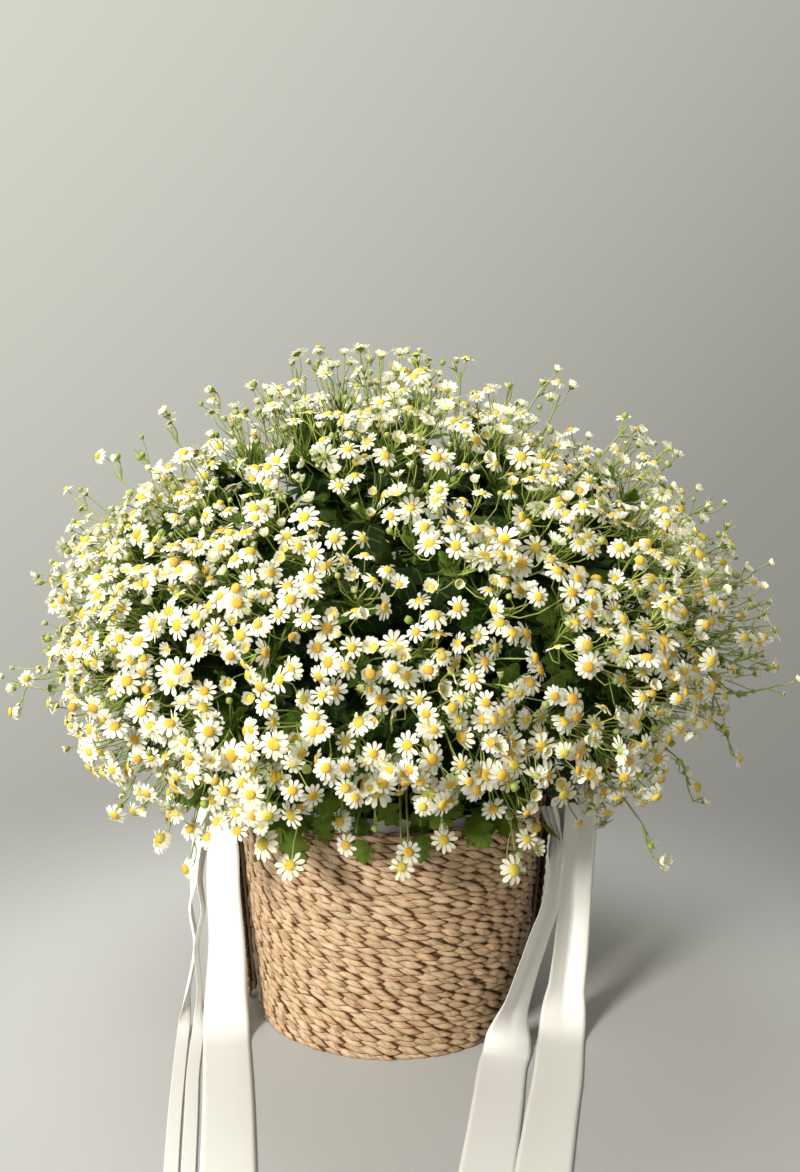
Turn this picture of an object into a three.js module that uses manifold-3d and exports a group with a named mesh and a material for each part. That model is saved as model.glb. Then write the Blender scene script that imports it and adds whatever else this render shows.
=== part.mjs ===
// Potted feverfew. A woven basket, lined with plastic film and filled with soil, holds leafy shoots
// and a dome of flower sprays. Satin ribbons tied to its two side bands hang down to the floor.
// Millimetres, +Z up. The origin is on the floor under the middle of the basket; -Y is the front.

import * as THREE from 'three';
import { mergeVertices } from 'three/addons/utils/BufferGeometryUtils.js';
import Module from 'manifold-3d';

const wasm = await Module();
wasm.setup();

// Basket
const BASKET_HEIGHT = 188;
const BASE_RADIUS = 115;
const RIM_RADIUS = 129;
const WALL = 8;
const BASKET_FLOOR = 8;
const WEAVE_ROWS = 15;
const STITCHES = 26;
const STITCH_RISE = 2.6;
const STITCH_DIP = 1.6;

// Liner and soil
const GAP = 0.35;
const FILM = 1.2;
const LINER_STANDS = 10;
const LINER_WAVE = 3.5;
const LINER_FLARE = 1.6;
const SOIL_TOP = 165;
const SOIL_INSET = 1.6;
const HOLE_DEPTH = 22;

// Dome of flowers: half a flattened ball above the widest level and a shallower one below it
const DOME_MIDDLE = 305;
const DOME_RADIUS = 298;
const DOME_UP = 244;
const DOME_DOWN = 150;
const LOWEST_ANGLE = 2.44;
const FRONT_LIFT = 0.6;
const FRONT = -Math.PI / 2;
const GOLDEN_ANGLE = Math.PI * (3 - Math.sqrt(5));
const LEAST_DEPTH = 0.94;
const FACES_UP = 0.3;
const FACES_ASIDE = 0.5;
const YOUNG_SHARE = 0.25;

// Flower sprays
const SPRAYS = 42;
const SPRAY_TURN = 1.3;
const SPRAY_MARGIN = 0.12;
const SPRAY_REACH = 0.97;
const BLOOMS = 315;
const BLOOM_SEED = 11;
const BLOOM_RADIUS = 25.5;
const BLOOM_ROOM = 0.53;
const DISC_RISE = 0.24;
const CALYX_DROP = 0.26;
const STEM_SIDES = 3;
const SOIL_STEM_RADIUS = 2.7;
const TOP_STEM_RADIUS = 2.2;
const CALYX_RADIUS = 1.5;
const NOTCH = 0.62;
const STEM_SPREAD = 94;
const FORK_START = 0.64;
const FORK_STEP = 0.02;
const FORK_PAUSE = 0.014;
const FORKS = 3;
const STEM_STEPS = 6;
const TURNS_TO_TRY = [0, 0.15, -0.15, 0.3, -0.3, 0.45, -0.45];

// Leafy shoots over the rim
const SHOOTS = 8;
const SHOOT_FOOT = 106;
const LEAF_LENGTH = 44;
const LEAF_THICKNESS = 0.9;
const LEAF_DROOP = 0.28;
const LEAF_FOLD = 0.25;
const SIDE_LEAF_TURN = 1.15;
const SIDE_LEAF_SIZE = 0.85;

// Side bands and ribbons
const BAND_WIDTH = 24;
const BAND_THICKNESS = 6;
const BAND_STEPS = 12;
const BAND_RIB = 1.8;
const BAND_WAIST = 1.5;
const FRAY = 5;
const BAND_TOP = 184;
const RIBBON_WIDTH = 38;
const NARROW_WIDTH = 10;
const RIBBON_THICKNESS = 0.8;
const KNOT_RADIUS = 9;

const UP = new THREE.Vector3(0, 0, 1);
const TURN = 2 * Math.PI;

// A seeded draw from 0 to 1, the same on every run
function randomFrom(seed) {
  let state = seed;
  return () => {
    state = (state + 0x6d2b79f5) | 0;
    let mixed = Math.imul(state ^ (state >>> 15), 1 | state);
    mixed = (mixed + Math.imul(mixed ^ (mixed >>> 7), 61 | mixed)) ^ mixed;
    return ((mixed ^ (mixed >>> 14)) >>> 0) / 4294967296;
  };
}

function polar(radius, angle, height) {
  return new THREE.Vector3(radius * Math.cos(angle), radius * Math.sin(angle), height);
}

function upright(height) {
  return [new THREE.Vector3(0, 0, height), new THREE.Vector3(1, 0, 0), new THREE.Vector3(0, 1, 0)];
}

// Two unit vectors square to an axis, so that (side, other, axis) is right-handed
function frameOf(axis) {
  const helper = Math.abs(axis.z) < 0.9 ? UP : new THREE.Vector3(1, 0, 0);
  const side = new THREE.Vector3().crossVectors(helper, axis).normalize();
  const other = new THREE.Vector3().crossVectors(axis, side).normalize();
  return { side, other };
}

// A closed skin of triangles, grown ring by ring. A ring is a list of point numbers that runs
// anticlockwise when it is seen from ahead.
class Skin {
  constructor() {
    this.points = [];
    this.faces = [];
  }

  point(position) {
    this.points.push(position.clone());
    return this.points.length - 1;
  }

  ring(centre, side, other, radius, phase, sides = STEM_SIDES) {
    const numbers = [];
    for (let k = 0; k < sides; k += 1) {
      const angle = phase + (TURN * k) / sides;
      const out = side.clone().multiplyScalar(radius * Math.cos(angle));
      out.addScaledVector(other, radius * Math.sin(angle));
      numbers.push(this.point(out.add(centre)));
    }
    return numbers;
  }

  face(a, b, c) {
    this.faces.push(a, b, c);
  }

  middle(ring) {
    const sum = new THREE.Vector3();
    ring.forEach((number) => sum.addScaledVector(this.points[number], 1 / ring.length));
    return sum;
  }

  // A ring ahead of another one, turned so that the skin between the two does not twist
  ringAfter(foot, centre, side, other, radius) {
    const middle = this.middle(foot);
    let across = 0;
    let along = 0;
    foot.forEach((number, k) => {
      const away = this.points[number].clone().sub(middle);
      const angle = Math.atan2(away.dot(other), away.dot(side)) - (TURN * k) / foot.length;
      along += Math.cos(angle);
      across += Math.sin(angle);
    });
    return this.ring(centre, side, other, radius, Math.atan2(across, along));
  }

  // Joins two rings of the same count. Sides in doors keep their first triangle open, for a branch.
  band(lower, upper, doors = []) {
    const open = {};
    for (let k = 0; k < lower.length; k += 1) {
      const next = (k + 1) % lower.length;
      if (doors.includes(k)) {
        open[k] = [lower[k], lower[next], upper[next]];
      } else {
        this.face(lower[k], lower[next], upper[next]);
      }
      this.face(lower[k], upper[next], upper[k]);
    }
    return open;
  }

  // Joins two four-cornered rings of a thin strip, with both of its faces split the same way
  strip(lower, upper) {
    const [a, b, c, d] = lower;
    const [e, f, g, h] = upper;
    this.faces.push(a, b, f, a, f, e, b, c, g, b, g, f, c, d, g, d, h, g, d, a, e, d, e, h);
  }

  // Joins two rings of any counts that both run once round the same axis
  zip(lower, upper, centre, side, other) {
    const angleOf = (number) => {
      const away = this.points[number].clone().sub(centre);
      return Math.atan2(away.dot(other), away.dot(side));
    };
    const wrap = (angle) => ((angle % TURN) + TURN) % TURN;
    const first = angleOf(lower[0]);
    const lowerAngles = lower.map((number, k) => (k === 0 ? 0 : wrap(angleOf(number) - first)));
    let start = 0;
    let nearest = TURN;
    upper.forEach((number, k) => {
      const apart = wrap(angleOf(number) - first + Math.PI) - Math.PI;
      if (Math.abs(apart) < nearest) {
        nearest = Math.abs(apart);
        start = k;
      }
    });
    const turned = upper.map((_, k) => upper[(start + k) % upper.length]);
    const lead = wrap(angleOf(turned[0]) - first + Math.PI) - Math.PI;
    const upperAngles = turned.map((number) => wrap(angleOf(number) - first - lead) + lead);
    let low = 0;
    let high = 0;
    while (low < lower.length || high < upper.length) {
      const nextLow = low + 1 < lower.length ? lowerAngles[low + 1] : TURN;
      const nextHigh = high + 1 < upper.length ? upperAngles[high + 1] : TURN + lead;
      const here = [lower[low % lower.length], turned[high % upper.length]];
      const lowFirst = high >= upper.length || (low < lower.length && nextLow <= nextHigh);
      if (lowFirst) {
        this.face(here[0], lower[(low + 1) % lower.length], here[1]);
        low += 1;
      } else {
        this.face(here[0], turned[(high + 1) % upper.length], here[1]);
        high += 1;
      }
    }
  }

  // Closes a ring with a fan round its middle, facing ahead or back
  fan(ring, tip, ahead) {
    for (let k = 0; k < ring.length; k += 1) {
      const next = (k + 1) % ring.length;
      if (ahead) this.face(ring[k], ring[next], tip);
      else this.face(ring[next], ring[k], tip);
    }
  }

  geometry() {
    const geometry = new THREE.BufferGeometry();
    const flat = this.points.flatMap((point) => [point.x, point.y, point.z]);
    geometry.setAttribute('position', new THREE.Float32BufferAttribute(flat, 3));
    geometry.setIndex(this.faces);
    return geometry;
  }
}

function solidOf(geometry) {
  const bare = geometry.index ? geometry.toNonIndexed() : geometry.clone();
  bare.deleteAttribute('normal');
  bare.deleteAttribute('uv');
  const merged = mergeVertices(bare, 1e-4);
  const vertProperties = new Float32Array(merged.attributes.position.array);
  const triVerts = new Uint32Array(merged.index.array);
  return new wasm.Manifold(new wasm.Mesh({ numProp: 3, vertProperties, triVerts }));
}

function geometryOf(solid) {
  const mesh = solid.getMesh();
  const geometry = new THREE.BufferGeometry();
  geometry.setAttribute('position', new THREE.BufferAttribute(mesh.vertProperties, 3));
  geometry.setIndex(new THREE.BufferAttribute(mesh.triVerts, 1));
  return geometry;
}

const material = {
  weave: new THREE.MeshStandardMaterial({ color: 0xc49a6c, roughness: 0.8, metalness: 0 }),
  film: new THREE.MeshStandardMaterial({ color: 0xd9dade, roughness: 0.3, metalness: 0 }),
  soil: new THREE.MeshStandardMaterial({ color: 0x33261b, roughness: 1, metalness: 0 }),
  satin: new THREE.MeshStandardMaterial({ color: 0xf1f0ea, roughness: 0.4, metalness: 0 }),
  flower: new THREE.MeshStandardMaterial({ color: 0xf3f3e6, roughness: 0.7, metalness: 0 }),
  leaf: new THREE.MeshStandardMaterial({ color: 0x4a7a25, roughness: 0.65, metalness: 0 }),
};

const potted = new THREE.Group();

function add(name, geometry, finish) {
  const mesh = new THREE.Mesh(geometry, finish);
  mesh.name = name;
  potted.add(mesh);
}

function wallRadius(height) {
  return BASE_RADIUS + ((RIM_RADIUS - BASE_RADIUS) * height) / BASKET_HEIGHT;
}

// Woven basket: each stitch is a slanted lens with its own ridge, and the rows interlock
function basket() {
  const skin = new Skin();
  const rowHeight = BASKET_HEIGHT / WEAVE_ROWS;
  const half = TURN / STITCHES / 2;
  const valley = (row) => {
    const height = row * rowHeight;
    return skin.ring(...upright(height), wallRadius(height) - STITCH_DIP, half * (row - 0.5), STITCHES);
  };
  const valleys = [];
  for (let row = 0; row <= WEAVE_ROWS; row += 1) valleys.push(valley(row));
  for (let row = 0; row < WEAVE_ROWS; row += 1) {
    const height = (row + 0.5) * rowHeight;
    const wall = wallRadius(height);
    const crest = skin.ring(...upright(height), wall + STITCH_RISE, half * row, STITCHES);
    const dips = skin.ring(...upright(height), wall - STITCH_DIP, half * (row + 1), STITCHES);
    for (let k = 0; k < STITCHES; k += 1) {
      const next = (k + 1) % STITCHES;
      const before = (k + STITCHES - 1) % STITCHES;
      const below = valleys[row];
      const above = valleys[row + 1];
      skin.face(crest[k], dips[before], below[k]);
      skin.face(crest[k], below[k], dips[k]);
      skin.face(crest[k], dips[k], above[k]);
      skin.face(crest[k], above[k], dips[before]);
      skin.face(dips[k], below[k], below[next]);
      skin.face(dips[k], above[next], above[k]);
    }
  }
  const inside = (height, radius) => skin.ring(...upright(height), radius,
    half * (WEAVE_ROWS - 0.5), STITCHES);
  const rim = inside(BASKET_HEIGHT, RIM_RADIUS - WALL);
  const well = inside(BASKET_FLOOR, wallRadius(BASKET_FLOOR) - WALL);
  skin.band(valleys[WEAVE_ROWS], rim);
  skin.band(rim, well);
  skin.fan(well, skin.point(new THREE.Vector3(0, 0, BASKET_FLOOR)), true);
  skin.fan(valleys[0], skin.point(new THREE.Vector3(0, 0, 0)), false);
  return skin.geometry();
}

function ringAt(skin, height, radius, sides, wave = 0, lift = 0) {
  const ring = [];
  for (let k = 0; k < sides; k += 1) {
    const angle = (TURN * k) / sides;
    const ruffle = wave * (Math.sin(3 * angle + 1) + 0.6 * Math.sin(7 * angle)) / 1.6;
    ring.push(skin.point(polar(radius + 0.5 * ruffle, angle, height + lift * ruffle)));
  }
  return ring;
}

// Plastic film that lines the basket and stands a little above its rim, with a wavy edge
function liner() {
  const skin = new Skin();
  const sides = STITCHES;
  const outside = (height) => wallRadius(height) - WALL - GAP - FILM / 2;
  const low = BASKET_FLOOR + GAP;
  const top = BASKET_HEIGHT + LINER_STANDS;
  const flare = outside(BASKET_HEIGHT) + LINER_FLARE;
  const outerLow = ringAt(skin, low, outside(low), sides);
  const outerRim = ringAt(skin, BASKET_HEIGHT, outside(BASKET_HEIGHT), sides);
  const outerTop = ringAt(skin, top, flare, sides, LINER_WAVE, 1);
  const innerTop = ringAt(skin, top, flare - FILM, sides, LINER_WAVE, 1);
  const innerRim = ringAt(skin, BASKET_HEIGHT, outside(BASKET_HEIGHT) - FILM, sides);
  const innerLow = ringAt(skin, low + FILM, outside(low) - FILM, sides);
  skin.band(outerLow, outerRim);
  skin.band(outerRim, outerTop);
  skin.band(outerTop, innerTop);
  skin.band(innerTop, innerRim);
  skin.band(innerRim, innerLow);
  skin.fan(innerLow, skin.point(new THREE.Vector3(0, 0, low + FILM)), true);
  skin.fan(outerLow, skin.point(new THREE.Vector3(0, 0, low)), false);
  return skin.geometry();
}

// Soil, with a plain three-sided hole round each stem
function soil(feet) {
  const low = BASKET_FLOOR + 2 * GAP + FILM;
  const inset = WALL + 2 * GAP + FILM + SOIL_INSET;
  const skin = new Skin();
  const bottom = ringAt(skin, low, wallRadius(low) - inset, STITCHES);
  const top = ringAt(skin, SOIL_TOP, wallRadius(SOIL_TOP) - inset, STITCHES);
  skin.band(bottom, top);
  skin.fan(top, skin.point(new THREE.Vector3(0, 0, SOIL_TOP)), true);
  skin.fan(bottom, skin.point(new THREE.Vector3(0, 0, low)), false);
  let solid = solidOf(skin.geometry());
  for (const foot of feet) {
    const hole = new Skin();
    const radius = foot.radius + 2 * GAP;
    const [, side, other] = upright(0);
    const floor = foot.place.clone().setZ(SOIL_TOP - HOLE_DEPTH - GAP);
    const mouth = foot.place.clone().setZ(SOIL_TOP + 5);
    const lowRing = hole.ring(floor, side, other, radius, foot.phase);
    const highRing = hole.ring(mouth, side, other, radius, foot.phase);
    hole.band(lowRing, highRing);
    hole.face(lowRing[0], lowRing[2], lowRing[1]);
    hole.face(highRing[0], highRing[1], highRing[2]);
    solid = solid.subtract(solidOf(hole.geometry()));
  }
  return geometryOf(solid);
}

// The dome's outline as radius, height and outward slope at an angle down from its top
function domeAt(angle) {
  const depth = angle < Math.PI / 2 ? DOME_UP : DOME_DOWN;
  const radius = DOME_RADIUS * Math.sin(angle);
  const height = DOME_MIDDLE + depth * Math.cos(angle);
  const slope = new THREE.Vector2(depth * Math.sin(angle), DOME_RADIUS * Math.cos(angle)).normalize();
  return { radius, height, slope };
}

// Angles down the dome that part it into rings of equal area, for evenly spread points
function evenAngles(count, limit) {
  const steps = 400;
  const areas = [0];
  for (let k = 1; k <= steps; k += 1) {
    const from = domeAt(((k - 1) * limit) / steps);
    const to = domeAt((k * limit) / steps);
    const length = Math.hypot(to.radius - from.radius, to.height - from.height);
    areas.push(areas[k - 1] + length * (from.radius + to.radius));
  }
  const angles = [];
  let k = 1;
  for (let n = 0; n < count; n += 1) {
    const wanted = ((n + 0.5) / count) * areas[steps];
    while (areas[k] < wanted) k += 1;
    const part = (wanted - areas[k - 1]) / (areas[k] - areas[k - 1]);
    angles.push(((k - 1 + part) * limit) / steps);
  }
  return angles;
}

// The flowers start higher at the front, where the basket's rim shows
function lowestAngle(azimuth) {
  const facing = Math.max(0, Math.cos(azimuth - FRONT));
  return LOWEST_ANGLE - FRONT_LIFT * facing * facing;
}

function domePoint(angle, azimuth, scale) {
  const { radius, height } = domeAt(angle);
  return polar(radius * scale, azimuth, DOME_MIDDLE + (height - DOME_MIDDLE) * scale);
}

function domeNormal(angle, azimuth) {
  const { slope } = domeAt(angle);
  return polar(slope.x, azimuth, slope.y);
}

// The flower heads, spread evenly over the dome. Each one stops short of its nearest neighbour.
function blooms() {
  const random = randomFrom(BLOOM_SEED);
  const list = [];
  evenAngles(BLOOMS, LOWEST_ANGLE).forEach((angle, k) => {
    const azimuth = k * GOLDEN_ANGLE;
    const draw = Array.from({ length: 6 }, () => random());
    if (angle > lowestAngle(azimuth)) return;
    const aside = new THREE.Vector3(draw[1] - 0.5, draw[2] - 0.5, draw[3] - 0.5);
    const facing = domeNormal(angle, azimuth).addScaledVector(UP, FACES_UP);
    const young = draw[4] < YOUNG_SHARE;
    list.push({
      centre: domePoint(angle, azimuth, LEAST_DEPTH + (1 - LEAST_DEPTH) * draw[0]),
      facing: facing.addScaledVector(aside, FACES_ASIDE).normalize(),
      petals: young ? 5 : 6,
      radius: young ? 0.72 : 0.88 + 0.12 * draw[5],
      cup: young ? 0.42 : 0.1 * (draw[5] - 0.7),
      phase: TURN * draw[5],
    });
  });
  for (const bloom of list) {
    let nearest = Infinity;
    for (const other of list) {
      if (other !== bloom) nearest = Math.min(nearest, bloom.centre.distanceTo(other.centre));
    }
    bloom.radius *= Math.min(BLOOM_RADIUS, BLOOM_ROOM * nearest);
  }
  return list;
}

// A flower head on its calyx: pointed petals round a raised disc
function growBloom(skin, calyx, bloom) {
  const { side, other } = frameOf(bloom.facing);
  const outline = [];
  for (let k = 0; k < 2 * bloom.petals; k += 1) {
    const angle = bloom.phase + (Math.PI * k) / bloom.petals;
    const isTip = k % 2 === 0;
    const reach = bloom.radius * (isTip ? 1 : NOTCH);
    const place = bloom.centre.clone();
    if (isTip) place.addScaledVector(bloom.facing, bloom.radius * bloom.cup);
    place.addScaledVector(side, reach * Math.cos(angle)).addScaledVector(other, reach * Math.sin(angle));
    outline.push(skin.point(place));
  }
  const disc = bloom.centre.clone().addScaledVector(bloom.facing, DISC_RISE * bloom.radius);
  skin.fan(outline, skin.point(disc), true);
  skin.zip(calyx, outline, bloom.centre, side, other);
}

// The branch from its foot on a stem up to the ring that stands for the flower's calyx
function growBranch(skin, foot, bloom) {
  const { side, other } = frameOf(bloom.facing);
  const centre = bloom.centre.clone().addScaledVector(bloom.facing, -CALYX_DROP * bloom.radius);
  const calyx = skin.ringAfter(foot, centre, side, other, CALYX_RADIUS);
  skin.band(foot, calyx);
  return calyx;
}

// The route of a stem from its hole in the soil, up and out to where it forks
function stemRoute(spray) {
  const foot = polar(spray.foot, spray.azimuth, SOIL_TOP - HOLE_DEPTH);
  const soilLine = polar(spray.foot, spray.azimuth, SOIL_TOP + 2);
  const fork = domePoint(spray.angle, spray.azimuth, FORK_START);
  const ahead = domePoint(spray.angle, spray.azimuth, 1).sub(fork).normalize();
  const span = soilLine.distanceTo(fork);
  const rise = soilLine.clone().addScaledVector(UP, 0.45 * span);
  const lean = fork.clone().addScaledVector(ahead, -0.3 * span);
  const curve = new THREE.CubicBezierCurve3(soilLine, rise, lean, fork);
  const route = [foot];
  for (let k = 0; k < STEM_STEPS; k += 1) route.push(curve.getPoint(k / STEM_STEPS));
  for (let k = 0; k < FORKS; k += 1) {
    const from = FORK_START + (FORK_STEP + FORK_PAUSE) * k;
    route.push(domePoint(spray.angle, spray.azimuth, from));
    route.push(domePoint(spray.angle, spray.azimuth, from + FORK_STEP));
  }
  return route;
}

// A three-sided stem along a route, its rings turned so that the first corner keeps to one side
function growStem(skin, route, firstPhase, radii, doorsAt = () => []) {
  const rings = [];
  const doors = [];
  let reference = polar(1, firstPhase, 0);
  route.forEach((place, k) => {
    const before = route[Math.max(0, k - 1)];
    const after = route[Math.min(route.length - 1, k + 1)];
    const axis = after.clone().sub(before).normalize();
    reference = reference.clone().addScaledVector(axis, -reference.dot(axis)).normalize();
    const other = new THREE.Vector3().crossVectors(axis, reference);
    const share = k / (route.length - 1);
    const radius = radii[0] + (radii[1] - radii[0]) * share;
    rings.push(skin.ring(place, reference, other, radius, 0));
    if (k > 0) doors.push(skin.band(rings[k - 1], rings[k], doorsAt(k)));
  });
  skin.face(rings[0][0], rings[0][2], rings[0][1]);
  return { end: rings[rings.length - 1], doors };
}

function faceTurn(face) {
  return (TURN * face) / STEM_SIDES;
}

// The ways to share a spray's flowers among the end of its stem and the three sides of its forks,
// those whose branches turn least to the side first
function waysToShare(spray, route) {
  const fork = route[route.length - 1];
  const axis = fork.clone().sub(route[route.length - 2]).normalize();
  const { side, other } = frameOf(axis);
  const seen = spray.blooms.map((bloom) => {
    const away = bloom.centre.clone().sub(fork);
    return {
      bloom,
      tilt: away.angleTo(axis),
      turn: Math.atan2(away.dot(other), away.dot(side)),
    };
  });
  seen.sort((a, b) => a.tilt - b.tilt);
  const last = seen.shift();
  const rest = seen.slice(0, STEM_SIDES * FORKS).sort((a, b) => a.turn - b.turn);
  const ways = rest.map((_, start) => {
    const groups = [[], [], []];
    rest.forEach((__, k) => {
      groups[Math.floor((k * STEM_SIDES) / rest.length)].push(rest[(start + k) % rest.length]);
    });
    const turns = groups.flatMap((group, face) => group.map((item) => item.turn - faceTurn(face)));
    const aside = turns.map((turn) => Math.atan2(Math.sin(turn - turns[0]), Math.cos(turn - turns[0])));
    const most = Math.max(...aside);
    const least = Math.min(...aside);
    groups.forEach((group) => group.sort((a, b) => b.tilt - a.tilt));
    const turn = turns[0] + (most + least) / 2;
    return { last: last.bloom, groups, turn, miss: most - least, side, other };
  });
  return ways.sort((a, b) => a.miss - b.miss);
}

// Whether any edge of a skin passes through one of its faces
function crosses(skin) {
  const ray = new THREE.Ray();
  const hit = new THREE.Vector3();
  const triangles = [];
  for (let k = 0; k < skin.faces.length; k += 3) {
    const corners = skin.faces.slice(k, k + 3);
    const places = corners.map((number) => skin.points[number]);
    triangles.push({ corners, places, box: new THREE.Box3().setFromPoints(places) });
  }
  const pierces = (one, two) => one.corners.some((from, k) => {
    const to = one.corners[(k + 1) % 3];
    if (two.corners.includes(from) || two.corners.includes(to)) return false;
    const start = skin.points[from];
    ray.set(start, skin.points[to].clone().sub(start).normalize());
    const found = ray.intersectTriangle(...two.places, false, hit);
    return found !== null && start.distanceTo(hit) < start.distanceTo(skin.points[to]);
  });
  return triangles.some((one) => triangles.some((two) => one !== two
    && one.box.intersectsBox(two.box) && pierces(one, two)));
}

// The sprays, each with the flower heads that are nearest to its end
function sprays() {
  const list = evenAngles(SPRAYS, LOWEST_ANGLE).map((angle, k) => {
    const azimuth = k * GOLDEN_ANGLE + SPRAY_TURN;
    return {
      angle: Math.min(angle, lowestAngle(azimuth) - SPRAY_MARGIN),
      azimuth,
      foot: STEM_SPREAD * Math.sqrt((k + 0.5) / SPRAYS),
      blooms: [],
    };
  });
  for (const bloom of blooms()) {
    let nearest = null;
    let shortest = Infinity;
    for (const spray of list) {
      const apart = bloom.centre.distanceTo(domePoint(spray.angle, spray.azimuth, SPRAY_REACH));
      if (apart < shortest) {
        shortest = apart;
        nearest = spray;
      }
    }
    nearest.blooms.push(bloom);
  }
  return list;
}

// The phase at the foot that brings a corner to the wanted turn at the fork
function footPhase(route, shares) {
  const corner = shares.turn - Math.PI / STEM_SIDES;
  let back = shares.side.clone().multiplyScalar(Math.cos(corner));
  back.addScaledVector(shares.other, Math.sin(corner));
  for (let k = route.length - 1; k >= 0; k -= 1) {
    const before = route[Math.max(0, k - 1)];
    const after = route[Math.min(route.length - 1, k + 1)];
    const axis = after.clone().sub(before).normalize();
    back = back.clone().addScaledVector(axis, -back.dot(axis)).normalize();
  }
  return Math.atan2(back.y, back.x);
}

function growSpray(route, shares) {
  const skin = new Skin();
  const phase = footPhase(route, shares);
  const levelOf = (k) => FORKS - 1 - (route.length - 1 - k) / 2;
  const doorsAt = (k) => {
    const level = levelOf(k);
    if (level < 0 || !Number.isInteger(level)) return [];
    return [0, 1, 2].filter((face) => shares.groups[face][level]);
  };
  const stem = growStem(skin, route, phase, [SOIL_STEM_RADIUS, TOP_STEM_RADIUS], doorsAt);
  stem.doors.forEach((open, k) => {
    const level = levelOf(k + 1);
    for (const [face, foot] of Object.entries(open)) {
      const { bloom } = shares.groups[face][level];
      growBloom(skin, growBranch(skin, foot, bloom), bloom);
    }
  });
  growBloom(skin, growBranch(skin, stem.end, shares.last), shares.last);
  return { skin, foot: { place: route[0], phase, radius: SOIL_STEM_RADIUS } };
}

// A spray whose branches cross is turned a little, or its flowers are shared out another way
function sprayGeometry(spray) {
  const route = stemRoute(spray);
  const ways = waysToShare(spray, route);
  for (const way of ways) {
    for (const offset of TURNS_TO_TRY) {
      const { skin, foot } = growSpray(route, { ...way, turn: way.turn + offset });
      if (!crosses(skin)) return { geometry: skin.geometry(), foot };
    }
  }
  throw new Error('every way to share out this spray crosses itself');
}

// A leaf with two pairs of cut lobes and a pointed end, as stations along its rib: how far along,
// how wide to each side, and how far the edge runs ahead of the rib there
const LEAF_STATIONS = [
  { along: 0.04, wide: 0.05, ahead: 0 },
  { along: 0.22, wide: 0.34, ahead: 0.1 },
  { along: 0.4, wide: 0.13, ahead: 0 },
  { along: 0.58, wide: 0.36, ahead: 0.12 },
  { along: 0.76, wide: 0.13, ahead: 0 },
];

function growLeaf(skin, stalk, base, ahead, up, length) {
  const across = new THREE.Vector3().crossVectors(up, ahead).normalize();
  const flat = new THREE.Vector3().crossVectors(ahead, across).normalize();
  const spot = (along, wide, lift) => {
    const droop = -LEAF_DROOP * length * along * along - LEAF_FOLD * Math.abs(wide);
    const place = base.clone().addScaledVector(ahead, along * length);
    place.addScaledVector(across, wide).addScaledVector(flat, droop + lift);
    return skin.point(place);
  };
  const half = LEAF_THICKNESS / 2;
  let ring = null;
  for (const { along, wide, ahead: lead } of LEAF_STATIONS) {
    const edge = along + lead;
    const next = [
      spot(edge, wide * length, half),
      spot(edge, -wide * length, half),
      spot(edge, -wide * length, -half),
      spot(edge, wide * length, -half),
    ];
    if (ring) skin.strip(ring, next);
    else skin.zip(stalk, next, base, across, flat);
    ring = next;
  }
  const tip = spot(1.05, 0, 0);
  skin.fan(ring, tip, true);
}

function shootRoute(azimuth) {
  const leans = [
    [0, SOIL_TOP - HOLE_DEPTH], [0, SOIL_TOP + 2], [1, BASKET_HEIGHT + 8], [8, BASKET_HEIGHT + 24],
    [15, BASKET_HEIGHT + 29], [24, BASKET_HEIGHT + 31],
  ];
  return leans.map(([outward, height]) => polar(SHOOT_FOOT + outward, azimuth, height));
}

// A short leafy shoot that leans out over the rim, with a leaf ahead and one to each side
function shootGeometry(azimuth, length) {
  const skin = new Skin();
  const route = shootRoute(azimuth);
  const phase = azimuth + Math.PI / 2 + Math.PI / 6;
  const doorsAt = (k) => (k === route.length - 2 ? [1, 2] : []);
  const stem = growStem(skin, route, phase, [SOIL_STEM_RADIUS, TOP_STEM_RADIUS], doorsAt);
  const sideways = [];
  stem.doors.forEach((open) => sideways.push(...Object.entries(open)));
  for (const [face, foot] of sideways) {
    const outward = new THREE.Vector3().crossVectors(
      skin.points[foot[1]].clone().sub(skin.points[foot[0]]),
      skin.points[foot[2]].clone().sub(skin.points[foot[0]]),
    ).normalize();
    const turn = Math.sign(outward.dot(polar(1, azimuth + Math.PI / 2, 0)));
    const ahead = polar(1, azimuth + turn * SIDE_LEAF_TURN, 0.1).normalize();
    const base = skin.middle(foot).addScaledVector(ahead, 9 + 2 * Number(face));
    const stalk = leafStalk(skin, foot, base, ahead);
    growLeaf(skin, stalk, base, ahead, UP, length * SIDE_LEAF_SIZE);
  }
  const ahead = polar(1, azimuth, -0.12).normalize();
  const base = route[route.length - 1].clone().addScaledVector(ahead, 10);
  growLeaf(skin, leafStalk(skin, stem.end, base, ahead), base, ahead, UP, length);
  return { geometry: skin.geometry(), foot: { place: route[0], phase, radius: SOIL_STEM_RADIUS } };
}

function leafStalk(skin, foot, base, ahead) {
  const across = new THREE.Vector3().crossVectors(UP, ahead).normalize();
  const flat = new THREE.Vector3().crossVectors(ahead, across).normalize();
  const ring = skin.ringAfter(foot, base, across, flat, CALYX_RADIUS);
  skin.band(foot, ring);
  return ring;
}

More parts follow.
